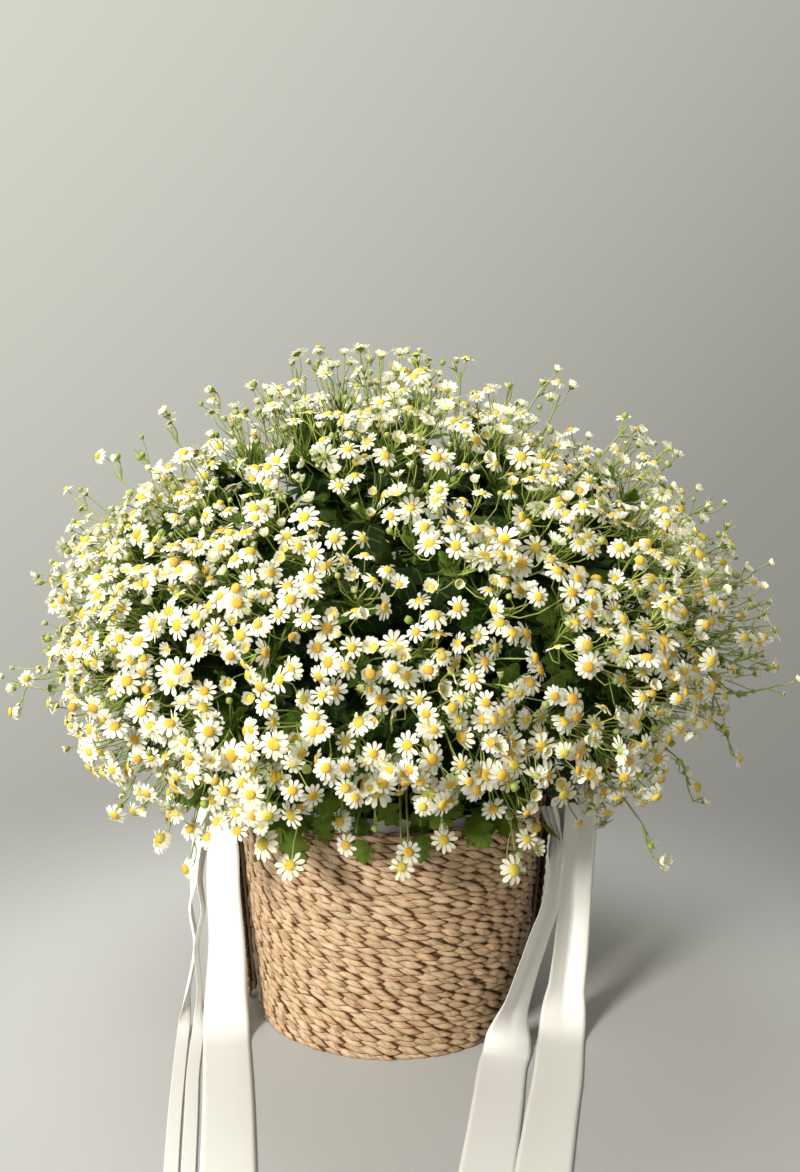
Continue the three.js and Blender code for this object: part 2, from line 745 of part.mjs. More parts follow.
// A side band: a plaited strip down the wall, with a raised rib at each crossing
function sideBand(azimuth, top, bottom, frayed) {
  const skin = new Skin();
  const out = polar(1, azimuth, 0);
  const across = polar(1, azimuth + Math.PI / 2, 0);
  let ring = null;
  for (let k = 0; k <= BAND_STEPS; k += 1) {
    const height = bottom + ((top - bottom) * k) / BAND_STEPS;
    const crossing = k % 2 === 1;
    const near = wallRadius(height) + STITCH_RISE + GAP + (frayed && k === 0 ? FRAY : 0);
    const far = near + BAND_THICKNESS + (crossing ? BAND_RIB : 0);
    const wide = BAND_WIDTH / 2 - (crossing ? 0 : BAND_WAIST);
    const spot = (radius, aside) => {
      const place = out.clone().multiplyScalar(radius).addScaledVector(across, aside);
      return skin.point(place.setZ(height));
    };
    const next = [spot(far, -wide), spot(far, wide), spot(near, wide), spot(near, -wide)];
    if (ring) skin.band(ring, next);
    if (k === 0) skin.fan(next, spot(near + BAND_THICKNESS / 2, 0), false);
    if (k === BAND_STEPS) skin.fan(next, spot(near + BAND_THICKNESS / 2, 0), true);
    ring = next;
  }
  return skin.geometry();
}

// A flat ribbon through hand-chosen points. Each has a place, the way that its width runs, and how
// much of the width is left where the ribbon is gathered into its knot.
function ribbonSolid(points, width) {
  const skin = new Skin();
  let ring = null;
  points.forEach(([x, y, z, widthX, widthY, gathered = 1], k) => {
    const place = new THREE.Vector3(x, y, z);
    const before = points[Math.max(0, k - 1)];
    const after = points[Math.min(points.length - 1, k + 1)];
    const axis = new THREE.Vector3(after[0] - before[0], after[1] - before[1], after[2] - before[2]);
    axis.normalize();
    const across = new THREE.Vector3(widthX, widthY, 0);
    across.addScaledVector(axis, -across.dot(axis)).normalize();
    const flat = new THREE.Vector3().crossVectors(axis, across).normalize();
    const corner = (aside, lift) => {
      const edge = place.clone().addScaledVector(across, (aside * width * gathered) / 2);
      return skin.point(edge.addScaledVector(flat, (lift * RIBBON_THICKNESS) / 2));
    };
    const next = [corner(-1, -1), corner(1, -1), corner(1, 1), corner(-1, 1)];
    if (ring) skin.strip(ring, next);
    else skin.faces.push(next[0], next[2], next[1], next[0], next[3], next[2]);
    ring = next;
  });
  skin.faces.push(ring[0], ring[1], ring[2], ring[0], ring[2], ring[3]);
  return solidOf(skin.geometry());
}

function knotSolid(x, y, z, size) {
  const ball = new THREE.SphereGeometry(KNOT_RADIUS * size, 8, 6);
  ball.scale(0.8, 1.15, 1);
  ball.translate(x, y, z);
  return solidOf(ball);
}

// Right-hand ribbon: a knot on the side band, a short loop, and two tails that reach the floor
// and run on towards the front. Each point is x, y, z and the direction of the ribbon's width.
function ribbonRight() {
  const frontTail = [
    [147, -12, 149, 0.1, 1, 0.35], [140, -28, 128, 0.25, 0.97, 0.8], [127, -44, 104, 0.38, 0.93],
    [114, -60, 78, 0.5, 0.87], [102, -74, 50, 0.62, 0.78], [92, -87, 24, 0.72, 0.7],
    [88, -98, 9, 0.9, 0.3], [85, -109, 2.5, 1, 0], [80, -128, 0.6, 1, -0.15],
    [73, -180, 0.6, 1, -0.15], [65, -235, 0.6, 1, -0.15], [57, -292, 0.6, 1, -0.15],
  ];
  const outerTail = [
    [148, -8, 151, 0.9, 0.4, 0.3], [157, 4, 172, 0.9, 0.4, 0.7], [165, 9, 190, 0.95, 0.3],
    [169, 5, 199, 0.95, 0.3], [172, -3, 198, 0.95, 0.3], [173, -10, 185, 0.95, 0.3],
    [171, -16, 155, 0.95, 0.3], [164, -26, 110, 0.95, 0.3], [156, -42, 62, 1, 0.2],
    [149, -58, 24, 1, 0], [145, -69, 8, 1, -0.1], [140, -88, 0.6, 1, -0.2],
    [130, -140, 0.6, 1, -0.2], [117, -200, 0.6, 1, -0.2], [98, -292, 0.6, 1, -0.2],
  ];
  return geometryOf(knotSolid(143.9, -10, 149, 1)
    .add(ribbonSolid(frontTail, RIBBON_WIDTH)).add(ribbonSolid(outerTail, RIBBON_WIDTH)));
}

// Left-hand ribbon: a knot under the flowers and one broad tail
function ribbonLeft() {
  const tail = [
    [-147, -12, 166, 0.8, -0.6, 0.35], [-144, -24, 145, 0.82, -0.57, 0.9], [-143, -35, 110, 0.82, -0.57],
    [-139, -47, 66, 0.85, -0.5], [-138, -60, 26, 0.95, -0.3], [-136, -71, 9, 1, 0],
    [-133, -90, 0.6, 1, 0.15], [-125, -140, 0.6, 1, 0.15], [-116, -200, 0.6, 1, 0.15],
    [-103, -294, 0.6, 1, 0.15],
  ];
  return geometryOf(knotSolid(-145.9, -8, 167, 1).add(ribbonSolid(tail, RIBBON_WIDTH)));
}

// A narrow ribbon's two strands, which hang outside the broad one and meet once on the way down
function ribbonNarrow() {
  const outer = [
    [-143, 5, 180, 0.2, 1, 0.5], [-158, 9, 177, 0.2, 1], [-168, 7, 164, 0.2, 1], [-173, -2, 140, 0.2, 1],
    [-174, -16, 108, 0.2, 1], [-167, -34, 70, 0.2, 1], [-172, -52, 30, 0.2, 1],
    [-173, -66, 9, 0.8, 0.6], [-172, -84, 0.6, 1, 0.15], [-164, -140, 0.6, 1, 0.15],
    [-155, -200, 0.6, 1, 0.15], [-143, -280, 0.6, 1, 0.15],
  ];
  const inner = [
    [-143, 1, 178, 0.2, 1, 0.5], [-156, 3, 174, 0.2, 1], [-163, 2, 162, 0.2, 1], [-166, -6, 140, 0.2, 1],
    [-165, -19, 108, 0.2, 1], [-166, -34, 70, 0.2, 1], [-162, -52, 30, 0.2, 1],
    [-161, -66, 9, 0.8, 0.6], [-160, -84, 0.6, 1, 0.15], [-152, -140, 0.6, 1, 0.15],
    [-143, -200, 0.6, 1, 0.15], [-131, -284, 0.6, 1, 0.15],
  ];
  return geometryOf(knotSolid(-142.3, 3, 178, 0.55)
    .add(ribbonSolid(outer, NARROW_WIDTH)).add(ribbonSolid(inner, NARROW_WIDTH)));
}

const feet = [];
const numbered = (name, k) => `${name}_${String(k + 1).padStart(2, '0')}`;

add('basket', basket(), material.weave);
add('side_band_left', sideBand(Math.PI, BAND_TOP, 6, true), material.weave);
add('side_band_right', sideBand(0, BAND_TOP, 30, false), material.weave);
add('liner', liner(), material.film);

sprays().forEach((spray, k) => {
  const { geometry, foot } = sprayGeometry(spray);
  feet.push(foot);
  add(numbered('flower_spray', k), geometry, material.flower);
});

for (let k = 0; k < SHOOTS; k += 1) {
  const azimuth = FRONT + ((k + 0.5) / SHOOTS) * TURN;
  const { geometry, foot } = shootGeometry(azimuth, LEAF_LENGTH * (0.9 + 0.2 * ((k * 5) % 3) / 2));
  feet.push(foot);
  add(numbered('leafy_shoot', k), geometry, material.leaf);
}

add('soil', soil(feet), material.soil);
add('ribbon_right', ribbonRight(), material.satin);
add('ribbon_left', ribbonLeft(), material.satin);
add('ribbon_narrow', ribbonNarrow(), material.satin);

export default potted;
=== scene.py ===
"""Potted feverfew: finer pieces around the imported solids. Metres, +Z up, and -Y is the front.

The places of the flowers, stems and ribbons follow the same rules as the solids, so each piece here
stands where its solid does.
"""

import math

import bpy
import numpy as np
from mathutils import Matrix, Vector


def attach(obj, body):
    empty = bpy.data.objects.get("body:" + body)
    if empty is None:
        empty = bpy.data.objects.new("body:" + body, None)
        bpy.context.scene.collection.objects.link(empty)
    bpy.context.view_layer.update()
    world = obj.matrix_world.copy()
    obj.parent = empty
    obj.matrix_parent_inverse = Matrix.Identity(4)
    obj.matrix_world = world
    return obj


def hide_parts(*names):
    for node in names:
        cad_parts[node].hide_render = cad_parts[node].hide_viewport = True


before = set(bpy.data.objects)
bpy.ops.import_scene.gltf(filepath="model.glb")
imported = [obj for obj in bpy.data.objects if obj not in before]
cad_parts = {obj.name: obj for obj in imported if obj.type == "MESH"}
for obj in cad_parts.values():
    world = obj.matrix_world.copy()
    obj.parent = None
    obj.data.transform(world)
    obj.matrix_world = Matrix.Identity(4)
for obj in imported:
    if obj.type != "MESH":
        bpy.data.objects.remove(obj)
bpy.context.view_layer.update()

TURN = 2 * math.pi
GOLDEN_ANGLE = math.pi * (3 - math.sqrt(5))
UP = np.array([0.0, 0.0, 1.0])
EAST = np.array([1.0, 0.0, 0.0])
DRAWS = np.random.RandomState(23)

# Camera, at the photograph's viewing angle
CAMERA_PLACE = (0.008, -1.010, 0.495)
CAMERA_PITCH = math.radians(7.4)
CAMERA_LENS = 36.86

# Basket. A stitch slants by its lean, runs down to the right by its fall, tucks one edge under by its
# lap, and is longer than the space between two stitches by its length
BASKET_HEIGHT = 0.188
BASE_RADIUS = 0.115
RIM_RADIUS = 0.129
WALL = 0.008
BASKET_FLOOR = 0.008
WEAVE_ROWS = 33
STITCHES = 50
STITCH_DEPTH = 0.0036
STITCH_LEAN = 0.22
STITCH_FALL = 0.26
STITCH_LAP = 0.13
STITCH_LENGTH = 1.26
STITCH_ROLL = 0.09
STITCH_STANDS = (-0.0004, 0.0005)
STITCH_LEVELS = (-0.0004, 0.0004)
WEAVE_INSET = 0.0020
RIM_ROW_DROP = 0.0035
RIM_ROW_INSET = 0.0034
RIM_ROW_TILT = 1.0
RIM_ROW_SHIFT = 0.2
RIM_ROW_HEIGHT = 1.5
BASKET_SIDES = 88
GROUND_GAP = 0.0003

# Side bands. A stitch there has a length, a height and a depth
BAND_TOP = 0.184
BAND_RISE = 0.0026
BAND_STITCH = (0.0160, 0.0088, 0.0056)
BAND_COLUMN = 0.0060
BAND_HALF = 0.0092
BAND_THICKNESS = 0.0024
FRAY_FIBRES = 26
FRAY_RADII = (0.0007, 0.0006, 0.0005, 0.0002)

# Film and soil. Each row of the film is a height, how far it flares, and how deeply it is pleated
SOIL_TOP = 0.165
SOIL_RADIUS = 0.112
HOLE_DEPTH = 0.022
CRUMBS = 220
CRUMB_SIDES = 5
CRUMB_SIZES = (0.0010, 0.0034)
FILM_TOP = BASKET_HEIGHT + 0.010
FILM_GAP = 0.0016
FILM_WAVE = 0.0035
FILM_PLEAT = 0.0007
FILM_COLUMNS = 240
FILM_ROWS = (
    (BASKET_FLOOR + 0.001, 0, 0), (0.06, 0, 0), (0.12, 0, 0.1), (SOIL_TOP, 0, 0.3), (0.176, 0, 0.7),
    (BASKET_HEIGHT, 0, 1), (0.192, 0.0008, 1.2), (0.195, 0.0013, 1.4), (FILM_TOP, 0.0016, 1.5),
)

# The solids' seeded draw
WORD = 0xFFFFFFFF
SEED_STEP = 0x6D2B79F5

# Dome of flowers
DOME_MIDDLE = 0.305
DOME_RADIUS = 0.298
DOME_UP = 0.244
DOME_DOWN = 0.150
LOWEST_ANGLE = 2.44
FRONT_LIFT = 0.6
FRONT = -math.pi / 2
LEAST_DEPTH = 0.94
FACES_UP = 0.3
FACES_ASIDE = 0.5
BLOOMS = 315
BLOOM_SEED = 11
BLOOM_ROOM = 0.53
BLOOM_RADIUS = 0.0255
SPRAYS = 42
SPRAY_TURN = 1.3
SPRAY_MARGIN = 0.12
SPRAY_REACH = 0.97
STEM_SPREAD = 0.094
FORK_START = 0.64
FORK_END = 0.74
GROUPS = 6
SPRAY_PULL = 0.12
SPRAY_STANDS = (-0.008, 0.016)
AREA_STEPS = 400

# Where the photo's plant departs from an even dome: its shoulders stand lower, and its left and right
# sides draw in below the widest part
SHOULDER_DROP = 0.027
SHOULDER_ASIDE = 0.16
SHOULDER_LEVEL = 0.36
SHOULDER_SPREAD = 0.08
UNDERCUT = 0.036
UNDERCUT_LEVEL = 0.30
UNDERCUT_SPREAD = 0.05

# Sprigs that stand out of the dome in the photo, or hang over the rim: x, y, z in millimetres, and
# how many flowers each has
SPRIG_MIDDLE = np.array([0.0, 0.0, 0.27])
LOW_SPRIG = 282
SPRIG_ROOT = 0.112
SPRIG_LOOSE = 0.011
SPRIG_STEPS = 7
SPRIG_BOX = ((-0.321, -0.31, 0.0), (0.314, 0.31, 0.562))
SPRIGS = (
    (-316, -30, 286, 2), (-312, -30, 262, 1), (-290, 0, 373, 3), (-271, 20, 436, 3), (-240, 20, 461, 3),
    (-214, 0, 479, 3), (-188, 0, 499, 3), (-153, 20, 516, 4), (-107, 0, 522, 3), (-80, 20, 547, 3),
    (-58, 0, 553, 4), (-24, 10, 552, 4), (-10, 0, 556, 3), (18, 20, 560, 4), (29, 0, 553, 3),
    (58, 0, 543, 3), (100, 20, 530, 2), (128, 0, 532, 4), (144, 20, 525, 3), (198, 0, 499, 3),
    (230, 0, 479, 3), (271, 0, 433, 3), (285, -20, 405, 3), (289, -60, 380, 3), (297, -90, 345, 3),
    (302, -100, 300, 2), (295, -80, 323, 2), (263, -120, 248, 1), (257, -110, 274, 2), (230, -120, 224, 3),
    (194, -150, 183, 2), (-166, -150, 204, 3), (-149, -150, 173, 1), (-196, -130, 223, 2),
    (-229, -100, 250, 2), (-131, -160, 201, 1), (-143, -160, 207, 1), (-125, -180, 224, 2),
    (-112, -180, 220, 2), (-151, -170, 227, 2), (-165, -170, 236, 2), (-104, -190, 233, 2),
    (-131, -190, 240, 2), (-87, -250, 276, 1), (-72, -250, 272, 1), (-87, -250, 260, 1),
    (-93, -220, 239, 1), (-88, -190, 220, 1), (-58, -220, 243, 1), (-65, -220, 237, 1),
    (-105, -190, 216, 1), (-90, -165, 198, 1), (-71, -165, 182, 1), (-34, -190, 223, 1),
    (-31, -165, 197, 1), (-10, -190, 218, 1), (14, -165, 192, 1), (9, -165, 181, 1), (38, -190, 219, 1),
    (39, -165, 201, 1), (26, -250, 260, 1), (39, -220, 246, 1), (23, -250, 274, 1), (45, -250, 264, 1),
    (57, -250, 263, 1), (64, -250, 273, 1), (70, -220, 241, 1), (95, -220, 244, 1), (-15, -250, 267, 1),
    (-7, -250, 263, 1), (1, -250, 280, 1), (87, -190, 217, 2), (97, -165, 200, 2), (92, -165, 191, 2),
)

# Single flowers
FLOWER_RADIUS = 0.0091
FLOWERS_PER_BLOOM = 10.2
USUAL_BLOOM = 0.0225
FEWEST_FLOWERS = 3
BUNCH_REACH = 1.18
BUNCH_CURVE = 6.0
BUNCH_JITTER = (-0.010, 0.006)
JOINT_DEPTH = 0.036
BRANCH_STEPS = 7
STALK_STEPS = 5
OPEN_KINDS = 8
CUPPED_KINDS = 3
OLD_KINDS = 2
BUD_KINDS = 2
FIRST_OLD = OPEN_KINDS + CUPPED_KINDS
FIRST_BUD = FIRST_OLD + OLD_KINDS

# Petals, and the stalk under a flower, in parts of the flower's radius
PETAL_FOOT = 0.24
PETAL_ALONG = np.array([0.0, 0.66, 1.0])
PETAL_WIDE = np.array([0.40, 1.0, 0.72])
STALK_SHARE = 0.045

# Green parts: the radius at the foot and at the tip
STEM_RADII = (0.0027, 0.0016)
BRANCH_RADII = (0.0013, 0.0008)
SPRIG_RADII = (0.0011, 0.0006)
STALK_RADII = (0.00062, 0.00048)
SHOOT_RADII = (0.0022, 0.0010)
BASAL_STALK = 0.0009
SEEN_STALK = 0.0008

# Leaves and tufts of bracts: the least and greatest length of each sort
SMALL_LEAVES = (0.012, 0.022)
MIDDLE_LEAVES = (0.022, 0.036)
TOP_INNER_LEAVES = (0.022, 0.040)
INNER_LEAVES = (0.034, 0.052)
STEM_LEAVES = (0.032, 0.050)
SHOOT_LEAF = (0.032, 0.048)
BASAL_LEAF = (0.030, 0.046)
LEAVES_MIDDLE = 0.20
LEAF_LOBES = 3.6
LOBE_DEPTH = 0.55
LEAF_DROOP = 0.28
PETIOLE = 0.22
TUFT_BRACTS = 5
TUFT_LENGTH = 0.011
TUFT_SHADE = 0.8
TUFT_EVERY = 4

# Ribbons
RIBBON_WIDTH = 0.038
NARROW_WIDTH = 0.010
RIBBON_THICKNESS = 0.0004
KNOT_RADIUS = 0.009
HEM_TURN = 0.0022
RIBBON_COLUMNS = 13
RIBBON_STEPS = 8
LOWEST_RIBBON = 0.0007


def unit(vectors):
    """The same vectors at length 1."""
    return vectors / np.maximum(np.linalg.norm(vectors, axis=-1, keepdims=True), 1e-12)


def polar(radius, azimuth, height):
    """A point at a distance and an angle round the middle, and at a height."""
    return np.array([radius * math.cos(azimuth), radius * math.sin(azimuth), height])


def spread(low, high, count):
    """Seeded draws, evenly spread from low to high."""
    return DRAWS.uniform(low, high, count)


def portion(value, start, span):
    """How far a value has come from start over a span, from 0 to 1."""
    return np.clip((value - start) / span, 0, 1)


def circle(radius, angle, height):
    """A point round the middle for each angle. The radius and height are one number or many."""
    rows = np.broadcast_arrays(radius * np.cos(angle), radius * np.sin(angle), height)
    return np.stack(rows, axis=-1)


class Skin:
    """Triangles gathered for one piece. Each point has a UV and a shade of three numbers."""

    def __init__(self):
        self.points = []
        self.faces = []
        self.uvs = []
        self.shades = []
        self.count = 0

    def add(self, points, faces, uvs, shades):
        self.points.append(points)
        self.faces.append(faces + self.count)
        self.uvs.append(uvs)
        self.shades.append(np.broadcast_to(shades, (len(points), 3)))
        self.count += len(points)

    def together(self):
        return [np.concatenate(part) for part in (self.points, self.faces, self.uvs, self.shades)]

    def scatter(self, pattern, places, axes, sizes, shades):
        """Adds a copy of a pattern at each place. The rows of its axes are its own x, y and z. A
        copy's shade is red and blue, and the pattern's own green stays."""
        if len(places) == 0:
            return
        points, faces, uvs, own = pattern.together()
        sizes = np.asarray(sizes).reshape(len(places), -1)[:, None]
        copies = np.einsum("pk,nkj->npj", points, axes) * sizes + places[:, None]
        offsets = np.arange(len(places))[:, None, None] * len(points)
        tints = np.repeat(own[None], len(places), axis=0)
        tints[:, :, 0] = shades[:, :1]
        tints[:, :, 2] = shades[:, 1:2]
        self.add(copies.reshape(-1, 3), (faces[None] + offsets).reshape(-1, 3),
                 np.tile(uvs, (len(places), 1)), tints.reshape(-1, 3))


def scatter_mixed(skin, patterns, places, axes, sizes, shades):
    """Adds a copy of one drawn pattern at each place."""
    chosen = DRAWS.randint(0, len(patterns), len(places))
    for k, pattern in enumerate(patterns):
        mine = chosen == k
        skin.scatter(pattern, places[mine], axes[mine], sizes[mine], shades[mine])


def grid_faces(rows, columns, closed=False):
    """Two triangles for each cell of a grid of points. A closed grid joins its last column to its
    first one."""
    row, column = np.meshgrid(np.arange(rows - 1), np.arange(columns if closed else columns - 1),
                              indexing="ij")
    here = (row * columns + column).ravel()
    right = (row * columns + (column + 1) % columns).ravel()
    above = here + columns
    across = right + columns
    return np.concatenate([np.stack([here, right, across], 1), np.stack([here, across, above], 1)])


def grid(points, closed=False, shade=(0.5, 0.5, 0.5)):
    """A skin over a grid of points, an array of rows by columns by xyz."""
    rows, columns, _ = points.shape
    v, u = np.meshgrid(np.linspace(0, 1, rows), np.linspace(0, 1, columns), indexing="ij")
    skin = Skin()
    shades = np.broadcast_to(np.asarray(shade, float), (rows, columns, 3)).reshape(-1, 3)
    skin.add(points.reshape(-1, 3), grid_faces(rows, columns, closed),
             np.stack([u.ravel(), v.ravel()], 1), shades)
    return skin


def revolved(profile, sides, shade=(0.5, 0.5, 0.5)):
    """A skin over a profile of (radius, height) points, turned round the middle."""
    angle = TURN * np.arange(sides) / sides
    rings = [circle(radius, angle, height) for radius, height in profile]
    return grid(np.array(rings), closed=True, shade=shade)


def tubes(skin, paths, radii, sides, shades):
    """Round tubes along paths, an array of tubes by steps by xyz."""
    count, steps, _ = paths.shape
    ahead = unit(np.gradient(paths, axis=1))
    chord = unit(paths[:, -1] - paths[:, 0])
    helper = np.where(np.abs(chord[:, 2:]) < 0.8, UP, EAST)
    helper = np.cross(helper, chord)[:, None]
    side = unit(helper - (helper * ahead).sum(-1, keepdims=True) * ahead)
    other = np.cross(ahead, side)
    angle = TURN * np.arange(sides) / sides
    wide = np.broadcast_to(radii, (count, steps))[:, :, None, None]
    ring = side[:, :, None] * np.cos(angle)[:, None] + other[:, :, None] * np.sin(angle)[:, None]
    points = paths[:, :, None] + wide * ring
    faces = grid_faces(steps, sides, closed=True)
    offsets = np.arange(count)[:, None, None] * steps * sides
    v, u = np.meshgrid(np.linspace(0, 1, steps), np.arange(sides) / sides, indexing="ij")
    uvs = np.tile(np.stack([u.ravel(), v.ravel()], 1), (count, 1))
    tints = np.repeat(np.asarray(shades, float).reshape(-1, 1, 3), steps * sides, axis=1)
    skin.add(points.reshape(-1, 3), (faces[None] + offsets).reshape(-1, 3), uvs, tints.reshape(-1, 3))


def bezier(first, second, third, fourth, steps):
    """Points along many Bezier curves at once, as curves by steps by xyz."""
    t = np.linspace(0, 1, steps)[None, :, None]
    corners = [corner[:, None] for corner in (first, second, third, fourth)]
    weights = ((1 - t) ** 3, 3 * t * (1 - t) ** 2, 3 * t * t * (1 - t), t**3)
    return sum(weight * corner for weight, corner in zip(weights, corners))


def turned(ahead, roll):
    """For each direction, three rows: two square to it, turned by roll, and the direction."""
    helper = np.where(np.abs(ahead[:, 2:]) < 0.9, UP, EAST)
    side = unit(np.cross(helper, ahead))
    other = np.cross(ahead, side)
    cosine = np.cos(roll)[:, None]
    sine = np.sin(roll)[:, None]
    return np.stack([cosine * side + sine * other, cosine * other - sine * side, ahead], axis=1)


def leaf_axes(ahead, over):
    """For each leaf, three rows: the way it points, its width, and its upper face."""
    ahead = unit(ahead)
    face = unit(over - (over * ahead).sum(-1, keepdims=True) * ahead)
    return np.stack([ahead, np.cross(face, ahead), face], axis=1)


def piece(name, skin, look, slot, *nodes):
    """Makes a skin into a Blender object that stands for CAD nodes."""
    points, faces, uvs, shades = skin.together()
    mesh = bpy.data.meshes.new(name)
    mesh.vertices.add(len(points))
    mesh.vertices.foreach_set("co", points.astype(np.float32).ravel())
    mesh.loops.add(faces.size)
    mesh.loops.foreach_set("vertex_index", faces.astype(np.int32).ravel())
    mesh.polygons.add(len(faces))
    mesh.polygons.foreach_set("loop_start", np.arange(0, faces.size, 3, dtype=np.int32))
    mesh.polygons.foreach_set("use_smooth", np.ones(len(faces), dtype=bool))
    corners = uvs[faces.ravel()].astype(np.float32)
    mesh.uv_layers.new(name="UVMap").data.foreach_set("uv", corners.ravel())
    tints = np.hstack([shades, np.ones((len(points), 1))]).astype(np.float32)
    tint = mesh.color_attributes.new("shade", "FLOAT_COLOR", "POINT")
    tint.data.foreach_set("color", tints.ravel())
    mesh.update(calc_edges=True)
    mesh.validate()
    mesh.materials.append(look)
    made = bpy.data.objects.new(name, mesh)
    bpy.context.scene.collection.objects.link(made)
    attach(made, "root")
    if nodes:
        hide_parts(*nodes)
    return made


# Materials


class Look:
    """A material built up node by node around one Principled shader."""

    def __init__(self, name, **values):
        self.material = bpy.data.materials.new(name)
        self.material.use_nodes = True
        self.nodes = self.material.node_tree.nodes
        self.shader = self.nodes["Principled BSDF"]
        self.set(self.shader, values)

    def set(self, node, values):
        for socket, value in values.items():
            into = node.inputs[socket.replace("_", " ") if isinstance(socket, str) else socket]
            if isinstance(value, bpy.types.NodeSocket):
                self.material.node_tree.links.new(value, into)
            else:
                into.default_value = value

    def node(self, kind, values, **settings):
        made = self.nodes.new(kind)
        for setting, value in settings.items():
            setattr(made, setting, value)
        self.set(made, values)
        return made

    def math(self, operation, *values):
        return self.node("ShaderNodeMath", dict(enumerate(values)), operation=operation).outputs[0]

    def times(self, first, second):
        return self.math("MULTIPLY", first, second)

    def shade(self):
        """The three numbers that each point carries."""
        read = self.node("ShaderNodeAttribute", {}, attribute_name="shade")
        return self.node("ShaderNodeSeparateColor", {"Color": read.outputs["Color"]}).outputs

    def uv(self):
        place = self.node("ShaderNodeUVMap", {}, uv_map="UVMap")
        return self.node("ShaderNodeSeparateXYZ", {"Vector": place.outputs[0]}).outputs

    def stretched(self, x, y, z=0.0):
        return self.node("ShaderNodeCombineXYZ", {"X": x, "Y": y, "Z": z}).outputs[0]

    def noise(self, vector, scale, detail=2.0):
        made = self.node("ShaderNodeTexNoise", {"Vector": vector, "Scale": scale, "Detail": detail})
        return made.outputs["Fac"]

    def here(self):
        return self.node("ShaderNodeTexCoord", {}).outputs["Object"]

    def ramp(self, factor, *stops):
        """A colour ramp of (position, colour) stops."""
        made = self.node("ShaderNodeValToRGB", {"Fac": factor})
        elements = made.color_ramp.elements
        while len(elements) < len(stops):
            elements.new(0.5)
        for element, (position, colour) in zip(elements, stops):
            element.position = position
            element.color = (*colour, 1.0)
        return made.outputs["Color"]

    def mix(self, factor, first, second, blend="MIX"):
        values = {0: factor, 6: rgba(first), 7: rgba(second)}
        made = self.node("ShaderNodeMix", values, data_type="RGBA", blend_type=blend)
        return made.outputs[2]

    def bump(self, height, strength, distance):
        made = self.node("ShaderNodeBump", {"Height": height, "Strength": strength, "Distance": distance})
        self.set(self.shader, {"Normal": made.outputs[0]})

    def colour(self, value):
        self.set(self.shader, {"Base Color": value})

    def thin(self, colour, share):
        """Lets light through from behind, as a petal or a leaf does."""
        through = self.node("ShaderNodeBsdfTranslucent", {"Color": colour})
        values = {0: share, 1: self.shader.outputs[0], 2: through.outputs[0]}
        both = self.node("ShaderNodeMixShader", values)
        self.set(self.nodes["Material Output"], {"Surface": both.outputs[0]})


def rgba(value):
    """A colour of three numbers with its alpha. Anything else stays as it is."""
    return (*value, 1.0) if isinstance(value, tuple) else value


def petal_look():
    look = Look("petal", Roughness=0.55, Specular_IOR_Level=0.3)
    across, along, _ = look.uv()
    copy, _, age = look.shade()
    grooves = look.math("SINE", look.times(across, 19.0))
    body = look.ramp(along, (0.0, (0.66, 0.68, 0.24)), (0.25, (0.82, 0.82, 0.66)),
                     (0.6, (0.89, 0.885, 0.81)))
    cream = look.mix(look.math("MULTIPLY_ADD", copy, -0.5, 0.5), body, (0.88, 0.87, 0.58))
    worn = look.mix(look.times(age, 0.5), cream, (0.70, 0.66, 0.44))
    look.colour(worn)
    look.bump(grooves, 0.25, 0.0004)
    look.thin(worn, 0.30)
    return look.material


def disc_look():
    look = Look("disc", Roughness=0.7, Specular_IOR_Level=0.25)
    copy, rim, age = look.shade()
    across, along, _ = look.uv()
    florets = look.node("ShaderNodeTexVoronoi", {"Vector": look.stretched(across, along), "Scale": 13.0})
    raised = florets.outputs["Distance"]
    gold = look.ramp(copy, (0.0, (0.38, 0.42, 0.07)), (0.2, (0.66, 0.48, 0.055)),
                     (0.65, (0.68, 0.38, 0.035)), (1.0, (0.58, 0.26, 0.025)))
    ripe = look.mix(look.times(rim, 0.4), gold, (0.92, 0.72, 0.12))
    old = look.mix(look.times(age, 0.6), ripe, (0.42, 0.24, 0.05))
    # Darker towards the gaps between the florets: painted shade.
    floret_gap_shade = look.times(raised, 0.6)
    look.colour(look.mix(floret_gap_shade, old, (0.42, 0.24, 0.02)))
    look.bump(raised, -0.8, 0.0008)
    return look.material


def stem_look():
    look = Look("stem", Roughness=0.5, Specular_IOR_Level=0.4)
    copy, green, _ = look.shade()
    streaks = look.noise(look.here(), 240.0)
    fresh = look.ramp(copy, (0.0, (0.10, 0.17, 0.025)), (0.5, (0.22, 0.30, 0.045)),
                      (1.0, (0.38, 0.42, 0.09)))
    pale = look.mix(look.times(green, 0.6), fresh, (0.46, 0.50, 0.13))
    look.colour(look.mix(look.times(streaks, 0.4), pale, (0.10, 0.15, 0.03)))
    return look.material


